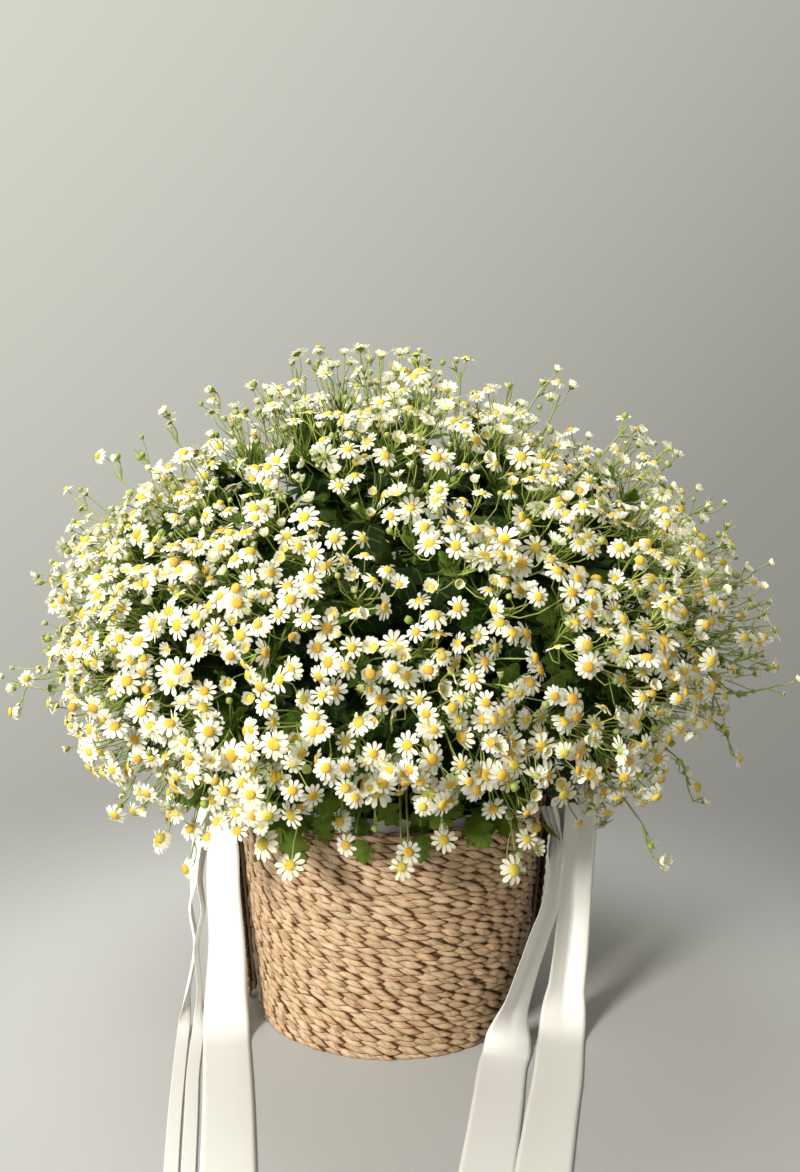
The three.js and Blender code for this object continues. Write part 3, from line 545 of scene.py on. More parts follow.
def leaf_look():
    look = Look("leaf", Roughness=0.7, Specular_IOR_Level=0.12)
    across, along, _ = look.uv()
    copy, _, age = look.shade()
    aside = look.math("ABSOLUTE", look.math("SUBTRACT", across, 0.5))
    rib = look.math("LESS_THAN", aside, 0.03)
    swept = look.math("SUBTRACT", look.times(along, LEAF_LOBES), look.times(aside, 0.5))
    near = look.math("ABSOLUTE", look.math("SUBTRACT", look.math("FRACT", swept), 0.5))
    side_veins = look.math("LESS_THAN", near, 0.07)
    veins = look.math("MAXIMUM", rib, side_veins)
    mottle = look.noise(look.here(), 60.0, 3.0)
    # The first shade number is how much light a leaf gets: the darkest stops are painted shade for leaves
    # deep in the plant.
    body = look.ramp(copy, (0.0, (0.006, 0.018, 0.002)), (0.12, (0.016, 0.040, 0.004)),
                     (0.5, (0.042, 0.085, 0.006)), (1.0, (0.110, 0.175, 0.014)))
    fresh = look.mix(look.times(age, 0.7), body, (0.22, 0.29, 0.04))
    spotted = look.mix(look.times(mottle, 0.35), fresh, (0.02, 0.05, 0.01))
    colour = look.mix(look.times(veins, 0.35), spotted, (0.14, 0.22, 0.05))
    look.colour(colour)
    look.bump(look.math("SUBTRACT", mottle, look.times(veins, 0.6)), 0.5, 0.0015)
    look.thin(look.mix(0.4, colour, (0.16, 0.27, 0.03)), 0.25)
    return look.material


def weave_look():
    look = Look("weave", Specular_IOR_Level=0.35)
    copy, stitch_shade_level, age = look.shade()
    across, along, _ = look.uv()
    seed = look.times(copy, 40.0)
    fibres = look.noise(look.stretched(look.times(across, 16.0), along, seed), 1.0, 4.0)
    patches = look.noise(look.stretched(across, look.times(along, 3.0), seed), 1.5)
    straw = look.ramp(copy, (0.0, (0.35, 0.19, 0.09)), (0.3, (0.50, 0.305, 0.165)),
                      (0.7, (0.64, 0.43, 0.27)), (1.0, (0.55, 0.405, 0.235)))
    pale = look.times(look.math("POWER", fibres, 1.5), 1.1)
    streaked = look.mix(pale, straw, (0.85, 0.645, 0.45))
    blotches = look.times(look.math("POWER", patches, 3.0), 2.2)
    stained = look.mix(blotches, streaked, (0.22, 0.115, 0.04))
    worn = look.mix(look.times(age, 0.35), stained, (0.33, 0.30, 0.15))
    # The middle shade number darkens the straw towards each stitch's edges and ends: painted shade in the
    # gaps between stitches.
    depth = look.ramp(stitch_shade_level, (0.0, (0.15, 0.075, 0.030)), (0.14, (0.47, 0.33, 0.22)),
                      (0.30, (0.87, 0.82, 0.77)), (0.75, (1.0, 1.0, 1.0)))
    look.colour(look.mix(1.0, worn, depth, "MULTIPLY"))
    look.set(look.shader, {"Roughness": look.math("ADD", look.times(fibres, 0.3), 0.35)})
    look.bump(fibres, 0.8, 0.0012)
    return look.material


def shaded_backing_look():
    look = Look("shaded_backing", Roughness=0.9)
    # Painted shade: the body is a near-black brown so that what shows of it between the stitches reads as
    # shade.
    ribs = look.node("ShaderNodeTexWave", {"Vector": look.here(), "Scale": 55.0, "Distortion": 2.0},
                     bands_direction="Z")
    look.colour(look.ramp(ribs.outputs["Fac"], (0.0, (0.02, 0.012, 0.006)), (1.0, (0.17, 0.10, 0.05))))
    look.bump(ribs.outputs["Fac"], 0.6, 0.001)
    return look.material


def film_look():
    look = Look("film", Roughness=0.28, Specular_IOR_Level=0.6)
    creases = look.noise(look.here(), 55.0, 4.0)
    # The grey follows the crease bump, darker in its hollows: painted shade in the creases.
    colour = look.ramp(creases, (0.3, (0.60, 0.60, 0.59)), (0.7, (0.80, 0.80, 0.79)))
    look.colour(colour)
    look.bump(creases, 0.5, 0.002)
    look.thin(colour, 0.35)
    return look.material


def soil_look():
    look = Look("soil", Roughness=0.95, Specular_IOR_Level=0.2)
    lumps = look.noise(look.here(), 170.0, 6.0)
    look.colour(look.ramp(lumps, (0.3, (0.012, 0.008, 0.005)), (0.6, (0.06, 0.038, 0.022)),
                          (0.8, (0.12, 0.085, 0.055))))
    look.bump(lumps, 1.0, 0.003)
    return look.material


def satin_look():
    look = Look("satin", Roughness=0.36, Specular_IOR_Level=0.5, Sheen_Weight=0.15)
    across, along, _ = look.uv()
    copy = look.shade()[0]
    threads = look.math("SINE", look.times(along, 900.0))
    cloud = look.noise(look.here(), 14.0)
    white = look.mix(look.times(cloud, 0.3), (0.86, 0.855, 0.825), (0.78, 0.77, 0.73))
    hem = look.math("GREATER_THAN", look.math("ABSOLUTE", look.math("SUBTRACT", across, 0.5)), 0.475)
    edged = look.mix(look.times(hem, 0.25), white, (0.62, 0.61, 0.57))
    # The first shade number turns the white satin towards a warm grey: painted shade on the strands and
    # knots that lie in shade.
    colour = look.mix(look.times(copy, 0.5), edged, (0.76, 0.72, 0.60))
    look.colour(colour)
    look.bump(threads, 0.06, 0.0002)
    look.thin(colour, 0.25)
    return look.material


# Places of the flowers and stems, by the rules of the solids


def seeded(state):
    """The solids' seeded draw from 0 to 1."""
    def draw():
        nonlocal state
        state = (state + SEED_STEP) & WORD
        mixed = (state ^ (state >> 15)) * (1 | state) & WORD
        mixed = (mixed + ((mixed ^ (mixed >> 7)) * (61 | mixed) & WORD) & WORD) ^ mixed
        return (mixed ^ (mixed >> 14)) / (WORD + 1)
    return draw


def dome_at(angle):
    """The dome's radius and height at an angle down from its top."""
    depth = DOME_UP if angle < math.pi / 2 else DOME_DOWN
    return DOME_RADIUS * math.sin(angle), DOME_MIDDLE + depth * math.cos(angle)


def dome_point(angle, azimuth, scale=1.0):
    """A point on the dome, or inside it where scale is under 1."""
    radius, height = dome_at(angle)
    return polar(radius * scale, azimuth, DOME_MIDDLE + (height - DOME_MIDDLE) * scale)


def dome_normal(angle, azimuth):
    """The way that the dome faces."""
    depth = DOME_UP if angle < math.pi / 2 else DOME_DOWN
    slope = unit(np.array([depth * math.sin(angle), DOME_RADIUS * math.cos(angle)]))
    return polar(slope[0], azimuth, slope[1])


def even_angles(count):
    """Angles down the dome that part it into rings of equal area."""
    angles = np.arange(AREA_STEPS + 1) * LOWEST_ANGLE / AREA_STEPS
    rings = np.array([dome_at(angle) for angle in angles])
    lengths = np.hypot(*np.diff(rings, axis=0).T)
    areas = np.concatenate([[0], np.cumsum(lengths * (rings[1:, 0] + rings[:-1, 0]))])
    wanted = (np.arange(count) + 0.5) / count * areas[-1]
    return np.interp(wanted, areas, angles)


def lowest_angle(azimuth):
    """How far down the flowers reach. In front they stop higher up."""
    facing = max(0.0, math.cos(azimuth - FRONT))
    return LOWEST_ANGLE - FRONT_LIFT * facing * facing


def place_blooms():
    """The solids' flower heads, each with its centre, its facing, the dome's normal and its radius.
    The last two of each head's six draws serve the solids alone."""
    draw = seeded(BLOOM_SEED)
    blooms = []
    for k, angle in enumerate(even_angles(BLOOMS)):
        azimuth = k * GOLDEN_ANGLE
        depth, *aside, _, _ = [draw() for _ in range(6)]
        if angle > lowest_angle(azimuth):
            continue
        centre = dome_point(angle, azimuth, LEAST_DEPTH + (1 - LEAST_DEPTH) * depth)
        normal = dome_normal(angle, azimuth)
        facing = normal + FACES_UP * UP + FACES_ASIDE * (np.array(aside) - 0.5)
        blooms.append({"centre": centre, "facing": unit(facing), "normal": normal})
    centres = np.array([bloom["centre"] for bloom in blooms])
    apart = np.linalg.norm(centres[:, None] - centres[None], axis=-1)
    np.fill_diagonal(apart, np.inf)
    for bloom, nearest in zip(blooms, apart.min(axis=1)):
        bloom["radius"] = min(BLOOM_RADIUS, BLOOM_ROOM * nearest)
    return blooms


def place_sprays(blooms):
    """The solids' sprays: where each leads, how far from the middle its foot is, and the blooms and
    sprigs that are nearest to it."""
    sprays = []
    for k, angle in enumerate(even_angles(SPRAYS)):
        azimuth = k * GOLDEN_ANGLE + SPRAY_TURN
        angle = min(angle, lowest_angle(azimuth) - SPRAY_MARGIN)
        foot = STEM_SPREAD * math.sqrt((k + 0.5) / SPRAYS)
        sprays.append({"angle": angle, "azimuth": azimuth, "foot": foot, "blooms": [], "sprigs": []})
    ends = np.array([dome_point(spray["angle"], spray["azimuth"], SPRAY_REACH) for spray in sprays])
    for bloom in blooms:
        nearest = np.linalg.norm(ends - bloom["centre"], axis=1).argmin()
        sprays[nearest]["blooms"].append(bloom)
    for placed in SPRIGS:
        nearest = np.linalg.norm(ends - np.array(placed[:3]) * 0.001, axis=1).argmin()
        sprays[nearest]["sprigs"].append(placed)
    return sprays


def stem_route(spray):
    """A stem's points from its hole in the soil up to its first fork and on to its last one."""
    azimuth = spray["azimuth"]
    soil_line = polar(spray["foot"], azimuth, SOIL_TOP + 0.002)
    fork = dome_point(spray["angle"], azimuth, FORK_START)
    last = dome_point(spray["angle"], azimuth, FORK_END)
    ahead = unit(dome_point(spray["angle"], azimuth) - fork)
    span = np.linalg.norm(soil_line - fork)
    corners = (soil_line, soil_line + 0.45 * span * UP, fork - 0.3 * span * ahead, fork)
    curve = bezier(*[corner[None] for corner in corners], 12)[0]
    foot = polar(spray["foot"], azimuth, SOIL_TOP - HOLE_DEPTH)
    return np.concatenate([foot[None], curve, last[None]])


# Patterns: one flower, bud or leaf, made once and copied to each place


def petal_skin(count, lift, curl, length=1.0, width=0.166, gaps=0):
    """A ring of blunt petals of length 1 from the middle. lift tips them up, curl bends them back."""
    skin = Skin()
    column = np.array([-1.0, 0.0, 1.0])
    for k in range(gaps, count):
        angle = TURN * k / count + DRAWS.uniform(-0.07, 0.07)
        reach = length * DRAWS.uniform(0.90, 1.04) - PETAL_FOOT
        tip = lift + DRAWS.uniform(-0.10, 0.10)
        slope = tip - (curl + DRAWS.uniform(-0.12, 0.12)) * PETAL_ALONG
        steps = np.diff(PETAL_ALONG, prepend=0.0)
        rise = np.cumsum(np.sin(slope) * steps)
        run = np.cumsum(np.cos(slope) * steps)
        out = np.repeat(PETAL_FOOT + reach * run[:, None], len(column), axis=1)
        out[-1] -= np.array([0.09, 0.0, 0.09])
        aside = PETAL_WIDE[:, None] * width * DRAWS.uniform(0.88, 1.08) * column
        height = reach * rise[:, None] - 0.03 * (1 - column**2) * PETAL_WIDE[:, None]
        height = height + 0.03 * DRAWS.uniform(-1, 1) * column
        cosine = math.cos(angle)
        sine = math.sin(angle)
        points = np.stack([out * cosine - aside * sine, out * sine + aside * cosine, height], axis=-1)
        v, u = np.meshgrid(PETAL_ALONG, (column + 1) / 2, indexing="ij")
        uvs = np.stack([u.ravel(), v.ravel()], 1)
        shades = np.repeat(v.reshape(-1, 1), 3, axis=1)
        skin.add(points.reshape(-1, 3), grid_faces(*v.shape)[:, ::-1], uvs, shades)
    return skin


def disc_skin(radius, height):
    """A flower's domed middle, with its florets standing up a little out of line."""
    sides = 8
    angle = TURN * np.arange(sides) / sides
    outline = ((1.0, -0.10), (0.90, 0.62), (0.46, 1.0))
    rings = []
    for share, level in outline:
        ring = radius * share * (1 + 0.05 * DRAWS.uniform(-1, 1, sides))
        level = height * (level + 0.07 * DRAWS.uniform(-1, 1, sides))
        rings.append(circle(ring, angle, level))
    points = np.array(rings).reshape(-1, 3)
    shades = np.repeat([[0.5, share, 0.5] for share, _ in outline], sides, axis=0)
    uvs = points[:, :2] / (2 * radius) + 0.5
    top = (len(outline) - 1) * sides
    fan = np.array([[top, top + k, top + k + 1] for k in range(1, sides - 1)])
    faces = np.concatenate([grid_faces(len(outline), sides, closed=True), fan])
    skin = Skin()
    skin.add(points, faces, uvs, shades)
    return skin


def calyx_skin(radius, depth):
    """The green cup under a flower, from its stalk out to the petals."""
    profile = ((STALK_SHARE, -depth - 0.10), (0.75 * radius, -0.8 * depth), (1.04 * radius, 0.02))
    return revolved(profile, 6, (0.5, 0.4, 0.5))


def bud_skin(radius):
    """A closed bud: a green ball with ribs, on its stalk."""
    sides = 8
    angle = TURN * np.arange(sides) / sides
    ribs = 1 + 0.07 * np.cos(angle * sides / 2)
    outline = ((STALK_SHARE, -1.5), (0.62, -1.25), (1.0, -0.55), (0.92, 0.10), (0.50, 0.42), (0.06, 0.50))
    rings = [circle(radius * share * ribs, angle, radius * level) for share, level in outline]
    return grid(np.array(rings), closed=True, shade=(0.5, 0.75, 0.5))


def flower_kinds():
    """Patterns for flowers of every age. Each has petals, a disc and green parts, or None."""
    kinds = []
    for k in range(OPEN_KINDS):
        count = (10, 12, 11, 11)[k % 4]
        petals = petal_skin(count, 0.16 - 0.08 * (k % 3), 0.30 + 0.2 * (k % 3), gaps=k % 4 // 3)
        kinds.append((petals, disc_skin(0.38, 0.15 + 0.03 * (k % 3)), calyx_skin(0.30, 0.13)))
    for k in range(CUPPED_KINDS):
        petals = petal_skin(10, 0.80 + 0.25 * k, 0.25, 0.90 - 0.08 * k, 0.16)
        kinds.append((petals, disc_skin(0.26, 0.08), calyx_skin(0.26, 0.16)))
    for k in range(OLD_KINDS):
        petals = petal_skin(12, -0.2 - 0.2 * k, 0.9, 0.95, 0.15, gaps=2 * k)
        kinds.append((petals, disc_skin(0.36, 0.26), calyx_skin(0.27, 0.12)))
    for k in range(BUD_KINDS):
        petals = petal_skin(7, 1.25, -0.2, 0.42, 0.10) if k == 0 else None
        kinds.append((petals, None, bud_skin(0.25 + 0.03 * k)))
    return kinds


def leaf_skin(lobes, stations, columns):
    """A lobed leaf of length 1 along x. Its lobes point ahead and their edges wave."""
    along = np.linspace(0, 1, stations)
    lobe = 0.5 - 0.5 * np.cos(TURN * lobes * along)
    reach = 0.42 * np.sin(math.pi * along**0.72) ** 0.8
    wide = reach * (1 - LOBE_DEPTH + LOBE_DEPTH * lobe**0.45)
    wide[0] = 0.012
    wide[-1] = 0.01
    share = np.linspace(-1, 1, columns)
    ahead = along[:, None] + 0.16 * reach[:, None] * np.abs(share) * (0.4 + lobe[:, None])
    aside = wide[:, None] * share
    wave = 0.035 * np.sin(5 * along[:, None] * math.pi + 2 * share) * np.abs(share)
    height = wave - 0.30 * np.abs(aside) - LEAF_DROOP * ahead**2 + 0.10 * ahead
    return grid(np.stack([ahead * 0.94, aside, height], axis=-1))


def petiole_and_leaf(lobes, stations, columns=5):
    """A leaf on a short stalk, from the stalk's foot at the middle."""
    skin = leaf_skin(lobes, stations, columns)
    skin.points[0] = skin.points[0] + np.array([PETIOLE, 0.0, 0.02])
    path = np.array([[[0.0, 0.0, 0.0], [0.12, 0.0, 0.02], [PETIOLE + 0.02, 0.0, 0.02]]])
    tubes(skin, path, np.array([0.022, 0.018, 0.012]), 3, [(0.5, 0.5, 0.5)])
    return skin


def tuft_skin():
    """A tuft of thin bracts that spread from one point, of length 1 along x."""
    skin = Skin()
    along = np.array([[0.0], [0.5], [1.0]])
    wide = np.array([[0.02], [0.055], [0.004]])
    for k in range(TUFT_BRACTS):
        turn = TURN * k / TUFT_BRACTS
        lean = 0.35 + 0.25 * (k % 2)
        side = np.array([0.0, math.cos(turn), math.sin(turn)])
        ahead = unit(EAST + lean * side)
        across = unit(np.cross(ahead, side))
        middle = along * ahead + 0.12 * along**2 * side
        points = np.stack([middle - wide * across, middle + wide * across], axis=1)
        skin.add(*grid(points).together())
    return skin


# Flowers


def shoulder_drop(place):
    """How far the plant's shoulders, on both sides of its top, stand lower than an even dome."""
    aside = (abs(place[0]) - SHOULDER_ASIDE) / SHOULDER_SPREAD
    return SHOULDER_DROP * math.exp(-aside * aside) * portion(place[2], SHOULDER_LEVEL, SHOULDER_SPREAD)


def undercut(place):
    """How far the plant draws in below its widest part, on its left and right sides."""
    share = place[0] ** 2 / (place[0] ** 2 + place[1] ** 2)
    low = portion(-place[2], -UNDERCUT_LEVEL, UNDERCUT_SPREAD)
    return UNDERCUT * share * np.sign(place[0]) * low


def youth(places):
    """How young the flowers are, from 0 to 1: the youngest are at the top and at both sides."""
    return np.maximum(portion(places[:, 2], 0.37, 0.13), portion(np.abs(places[:, 0]), 0.19, 0.10))


def kinds_drawn(count, young):
    """Which kind each flower is: more buds and half-open ones where the plant is young."""
    draw = spread(0, 1, count)
    bud = 0.06 + 0.23 * young
    cupped = bud + 0.12 + 0.20 * young
    old = cupped + 0.08 - 0.05 * young
    pick = DRAWS.randint(0, 1000, count)
    kind = np.where(draw < old, FIRST_OLD + pick % OLD_KINDS, pick % OPEN_KINDS)
    kind = np.where(draw < cupped, OPEN_KINDS + pick % CUPPED_KINDS, kind)
    return np.where(draw < bud, FIRST_BUD + pick % BUD_KINDS, kind)


def bunch_count(bloom):
    """How many true-size flowers take the place of one of the solids' flower heads."""
    far_aside = portion(abs(bloom["centre"][0]), 0.21, 0.08)
    fewer = 1 - 0.12 * youth(bloom["centre"][None])[0] - 0.20 * far_aside
    size = bloom["radius"] / USUAL_BLOOM
    return max(FEWEST_FLOWERS, round(FLOWERS_PER_BLOOM * fewer * size**2))


def bunch(bloom, fork, end, outward):
    """True-size flowers in the place of one of the solids' flower heads, and their stalks. A spray's
    bunches draw together a little and stand out or in together."""
    count = bunch_count(bloom)
    rank = (np.arange(count) + 0.5) / count
    turn = np.arange(count) * GOLDEN_ANGLE + DRAWS.uniform(0, TURN)
    reach = BUNCH_REACH * bloom["radius"] * np.sqrt(rank) * spread(0.75, 1.2, count)
    side, other, normal = turned(bloom["normal"][None], np.zeros(1))[0]
    aside = reach[:, None] * (np.cos(turn)[:, None] * side + np.sin(turn)[:, None] * other)
    depth = spread(-0.022, 0.008, count) - BUNCH_CURVE * reach**2
    depth = depth + 0.012 * (spread(0, 1, count) > 0.9)
    stands = outward + DRAWS.uniform(*BUNCH_JITTER)
    middle = bloom["centre"] + SPRAY_PULL * (end - bloom["centre"]) + stands * normal
    middle = middle - shoulder_drop(middle) * UP - undercut(middle) * EAST
    centres = middle + aside + depth[:, None] * normal
    facing = bloom["facing"] + 9.0 * aside + 0.42 * DRAWS.normal(size=(count, 3)) * (1.0, 1.0, 0.8)
    joint = middle - JOINT_DEPTH * normal - 0.006 * bloom["facing"]
    between = 0.5 * (joint + fork) + 0.01 * DRAWS.uniform(-1, 1, 3) + 0.012 * UP
    corners = (fork, between, joint - 0.012 * normal, joint)
    branch = bezier(*[corner[None] for corner in corners], BRANCH_STEPS)[0]
    joints = branch[DRAWS.randint(BRANCH_STEPS - 3, BRANCH_STEPS, count)]
    return {"centres": centres, "facing": unit(facing), "branch": branch, "joints": joints,
            "young": youth(centres), "size": np.ones(count)}


def sprig(x, y, z, count):
    """A few flowers at the end of a thin stem, at a place seen in the photo, in millimetres. A low
    one comes up from inside the rim, and the others from inside the dome."""
    tip = np.array([x, y, z]) * 0.001
    out = unit(tip * (1, 1, 0))
    aim = unit(tip - SPRIG_MIDDLE)
    swerve = DRAWS.normal(size=3)
    low = z < LOW_SPRIG
    if low:
        root = out * SPRIG_ROOT + UP * (0.18 + 0.25 * tip[2])
        span = np.linalg.norm(tip - root)
        second = root + span * (0.3 * out + 0.35 * UP)
        third = tip + 0.3 * span * UP
        facing = 1.1 * out + 0.3 * UP
    else:
        root = SPRIG_MIDDLE + 0.7 * (tip - SPRIG_MIDDLE)
        span = np.linalg.norm(tip - root)
        bend = 0.1 * span * swerve
        second = root + 0.4 * (tip - root) + bend
        third = tip - 0.3 * span * aim + 0.5 * bend
        facing = aim + 0.3 * UP
    stem = bezier(root[None], second[None], third[None], tip[None], SPRIG_STEPS)[0]
    loose = 0.0 if count == 1 else SPRIG_LOOSE
    centres = tip + loose * DRAWS.uniform(-1, 1, (count, 3)) + 0.004 * aim
    facing = facing + 0.35 * DRAWS.normal(size=(count, 3))
    return {"centres": np.clip(centres, *SPRIG_BOX), "facing": unit(facing), "branch": stem,
            "joints": np.tile(stem[-2], (count, 1)),
            "young": np.full(count, 0.0 if low and count == 1 else 1.0),
            "size": np.full(count, 1.2 if low else 1.0)}


def grow_spray(spray, flowers, branches, sprigs):
    """Adds a spray's flowers to one list, and its leafy branches and bare sprigs to others."""
    axis = [dome_point(spray["angle"], spray["azimuth"], scale)
            for scale in np.linspace(FORK_START, FORK_END, 4)]
    end = dome_point(spray["angle"], spray["azimuth"], SPRAY_REACH)
    outward = DRAWS.uniform(*SPRAY_STANDS)
    for k, bloom in enumerate(spray["blooms"]):
        grown = bunch(bloom, axis[k % 4], end, outward)
        flowers.append(grown)
        branches.append(grown["branch"])
    for placed in spray["sprigs"]:
        grown = sprig(*placed)
        flowers.append(grown)
        sprigs.append(grown["branch"])


def group_nodes(group):
    """The numbers of a group's sprays and the names of their nodes. The groups go from the top down."""
    per_group = SPRAYS // GROUPS
    members = range(group * per_group, (group + 1) * per_group)
    return members, [f"flower_spray_{k + 1:02d}" for k in members]


def flower_pieces(sprays, looks):
    """Petals, discs and green stems for each group of sprays. Also hands on the branches."""
    kinds = flower_kinds()
    all_branches = []
    for group in range(GROUPS):
        members, nodes = group_nodes(group)
        flowers, branches, sprigs = [], [], []
        for k in members:
            grow_spray(sprays[k], flowers, branches, sprigs)
        petals, discs, greens = Skin(), Skin(), Skin()
        plant_flowers(flowers, kinds, petals, discs, greens)
        paths = np.array(branches)
        count = len(paths)
        tints = np.stack([spread(0.2, 0.7, count), np.full(count, 0.2), spread(0, 1, count)], 1)
        tubes(greens, paths, np.linspace(*BRANCH_RADII, BRANCH_STEPS), 5, tints)
        if sprigs:
            tints = [(0.5, 0.3, 0.5)] * len(sprigs)
            tubes(greens, np.array(sprigs), np.linspace(*SPRIG_RADII, SPRIG_STEPS), 5, tints)
        for k in members:
            route = stem_route(sprays[k])
            tubes(greens, route[None], np.linspace(*STEM_RADII, len(route)), 6, [(0.15, 0.0, 0.5)])
        piece(f"petals_{group + 1}", petals, looks["petal"], "flower", *nodes)
        piece(f"discs_{group + 1}", discs, looks["disc"], "flower", *nodes)
        piece(f"stems_{group + 1}", greens, looks["stem"], "leaf", *nodes)
        all_branches.append(paths)
    return all_branches


def plant_flowers(flowers, kinds, petals, discs, greens):
    """Copies the flower patterns to their places and draws a stalk to each."""
    keys = ("centres", "facing", "joints", "young", "size")
    gathered = [np.concatenate([grown[key] for grown in flowers]) for key in keys]
    centres, facing, joints, young, scale = gathered
    count = len(centres)
    kind = kinds_drawn(count, young)
    sizes = FLOWER_RADIUS * (0.84 + 0.42 * spread(0, 1, count) ** 1.5 - 0.08 * young) * scale
    axes = turned(facing, spread(0, TURN, count))
    shades = np.stack([spread(0, 1, count) * (1 - 0.7 * young), spread(0, 1, count) ** 3], 1)
    is_old = (kind >= FIRST_OLD) & (kind < FIRST_BUD)
    shades[:, 1] = np.where(is_old, 0.5 + 0.5 * shades[:, 1], 0.4 * shades[:, 1])
    for k, parts in enumerate(kinds):
        chosen = kind == k
        for skin, pattern in zip((petals, discs, greens), parts):
            if pattern is not None:
                skin.scatter(pattern, centres[chosen], axes[chosen], sizes[chosen], shades[chosen])
    draw_stalks(greens, centres, facing, joints, sizes)


def draw_stalks(greens, centres, facing, joints, sizes):
    """A stalk from its joint to each flower, and tufts of bracts on some of them."""
    count = len(centres)
    feet = centres - facing * sizes[:, None] * 0.2
    span = np.linalg.norm(feet - joints, axis=1, keepdims=True)
    bend = 0.25 * span * unit(DRAWS.normal(size=(count, 3)))
    second = joints + 0.4 * (feet - joints) + bend
    paths = bezier(joints, second, feet - 0.4 * span * facing, feet, STALK_STEPS)
    tints = np.stack([spread(0.3, 1, count), np.full(count, 0.5), spread(0, 1, count)], 1)
    tubes(greens, paths, np.linspace(*STALK_RADII, STALK_STEPS), 3, tints)
    tufted = np.arange(0, count, TUFT_EVERY)
    axes = leaf_axes(facing[tufted], np.roll(facing[tufted], 1, axis=1))
    greens.scatter(tuft_skin(), paths[tufted, 3], axes, np.full(len(tufted), TUFT_LENGTH),
                   np.full((len(tufted), 2), TUFT_SHADE))


# Leaves


def foliage_pieces(sprays, branches, looks):
    """Leaves along the stems and branches, in one piece for each group of sprays. The top group has
    smaller ones, and more of them inside."""
    large = [petiole_and_leaf(lobes, 13) for lobes in (2.6, 3.1, 3.6)]
    small = [petiole_and_leaf(1.6, 7, 3)]
    inner = [petiole_and_leaf(2.4, 9, 3)]
    tuft = [tuft_skin()]
    for group, paths in enumerate(branches):
        members, nodes = group_nodes(group)
        routes = np.array([stem_route(sprays[k]) for k in members])
        if group == 0:
            inside, inside_lengths, inside_light = 32, TOP_INNER_LEAVES, 0.3
            branch_lengths, near_fork = SMALL_LEAVES, 4
        else:
            inside, inside_lengths, inside_light = 14, INNER_LEAVES, 0.0
            branch_lengths, near_fork = MIDDLE_LEAVES, 2
        leaves = Skin()
        # Each call's last number is its leaves' light share; the inner leaves get little and are painted
        # dark, as painted shade.
        hang_leaves(leaves, large, routes[:, 3:], 10, STEM_LEAVES, 0.1, 0.1)
        hang_leaves(leaves, inner, routes[:, 7:], inside, inside_lengths, 0.1, inside_light)
        hang_leaves(leaves, large, paths[:, :4], 2, branch_lengths, 0.2, 0.5)
        hang_leaves(leaves, inner, paths[:, :3], near_fork, MIDDLE_LEAVES, 0.0, 0.0)
        hang_leaves(leaves, small, paths[:, 3:], 2, SMALL_LEAVES, 0.6, 1.0)
        hang_leaves(leaves, tuft, paths[:, 3:], 4, SMALL_LEAVES, 1.2, 1.0)
        piece(f"leaves_{group + 1}", leaves, looks["leaf"], "leaf", *nodes)


def hang_leaves(skin, patterns, lines, each, lengths, outward, light):
    """Leaves at drawn points of each line, turned any way round but more or less outward. Leaves with
    less light are darker."""
    paths = np.repeat(lines, each, axis=0)
    count, steps, _ = paths.shape
    step = DRAWS.randint(0, steps, count)
    places = paths[np.arange(count), step]
    away = unit(places - LEAVES_MIDDLE * UP)
    aside = unit(DRAWS.normal(size=(count, 3)))
    ahead = unit(outward * away + 0.9 * aside)
    over = unit(0.9 * away + 0.6 * UP + 0.5 * unit(DRAWS.normal(size=(count, 3))))
    sizes = spread(*lengths, count)
    # Both shade numbers grow with the light share, so leaves given less light are painted darker: painted
    # shade.
    shades = light * np.stack([spread(0, 1, count), spread(0, 1, count) ** 2], 1)
    scatter_mixed(skin, patterns, places, leaf_axes(ahead, over), sizes, shades)


# Basket


def wall_radius(height):
    """The basket's outer radius at a height."""
    return BASE_RADIUS + (RIM_RADIUS - BASE_RADIUS) * height / BASKET_HEIGHT


def above_ground(skin):
    """Flattens what would reach below the surface that the basket stands on."""
    skin.points = [np.maximum(points, (-1.0, -1.0, GROUND_GAP)) for points in skin.points]


def stitch_skin(seed):
    """One braided stitch of length 1 along x: a flat straw with slanting ends that runs down to the
    right, both ends under its neighbours. y is up and z is out."""
    along = np.linspace(0, 1, 8)[:, None]
    share = np.array([[-1, -0.74, 0.02, 0.74, 1]])
    swell = np.sin(math.pi * (0.04 + 0.92 * along)) ** 0.42
    x = along - 0.5 - STITCH_LEAN * share
    y = 0.70 * share * swell + STITCH_FALL * (0.5 - along) + 0.04 * np.sin(7 * along + seed)
    crest = np.sin(math.pi * (0.03 + 0.94 * along)) ** 0.42
    z = crest - 0.34 * np.abs(share) ** 4 * swell - STITCH_LAP * share
    z = z + 0.06 * np.cos(4 * share + seed) * swell
    points = np.stack(np.broadcast_arrays(x, y, z), axis=-1)
    skin = grid(points)
    # Darker towards the stitch's ends and its upper and lower edges: painted shade where neighbouring
    # stitches meet.
    stitch_shade_level = np.minimum(0.30 + 1.8 * (0.74 - np.abs(share)), 1.6 * (0.88 - np.abs(2 * along - 1)))
    stitch_shade_level = np.broadcast_to(stitch_shade_level, x.shape).ravel()
    skin.shades = [np.stack([stitch_shade_level, stitch_shade_level, stitch_shade_level], 1)]
    u, v = np.broadcast_arrays(share / 2 + 0.5, along)
    skin.uvs = [np.stack([u.ravel(), v.ravel()], 1)]
    return skin


def add_stitches(skin, patterns, places, right, above, out, scale):
    """Copies stitches. scale is each one's length, height and depth."""
    count = len(places)
    axes = np.stack([right * scale[:, :1], above * scale[:, 1:2], out * scale[:, 2:3]], axis=1)
    shades = np.stack([spread(0, 1, count) ** 0.8, spread(0, 1, count) ** 2], 1)
    scatter_mixed(skin, patterns, places, axes, np.ones(count), shades)


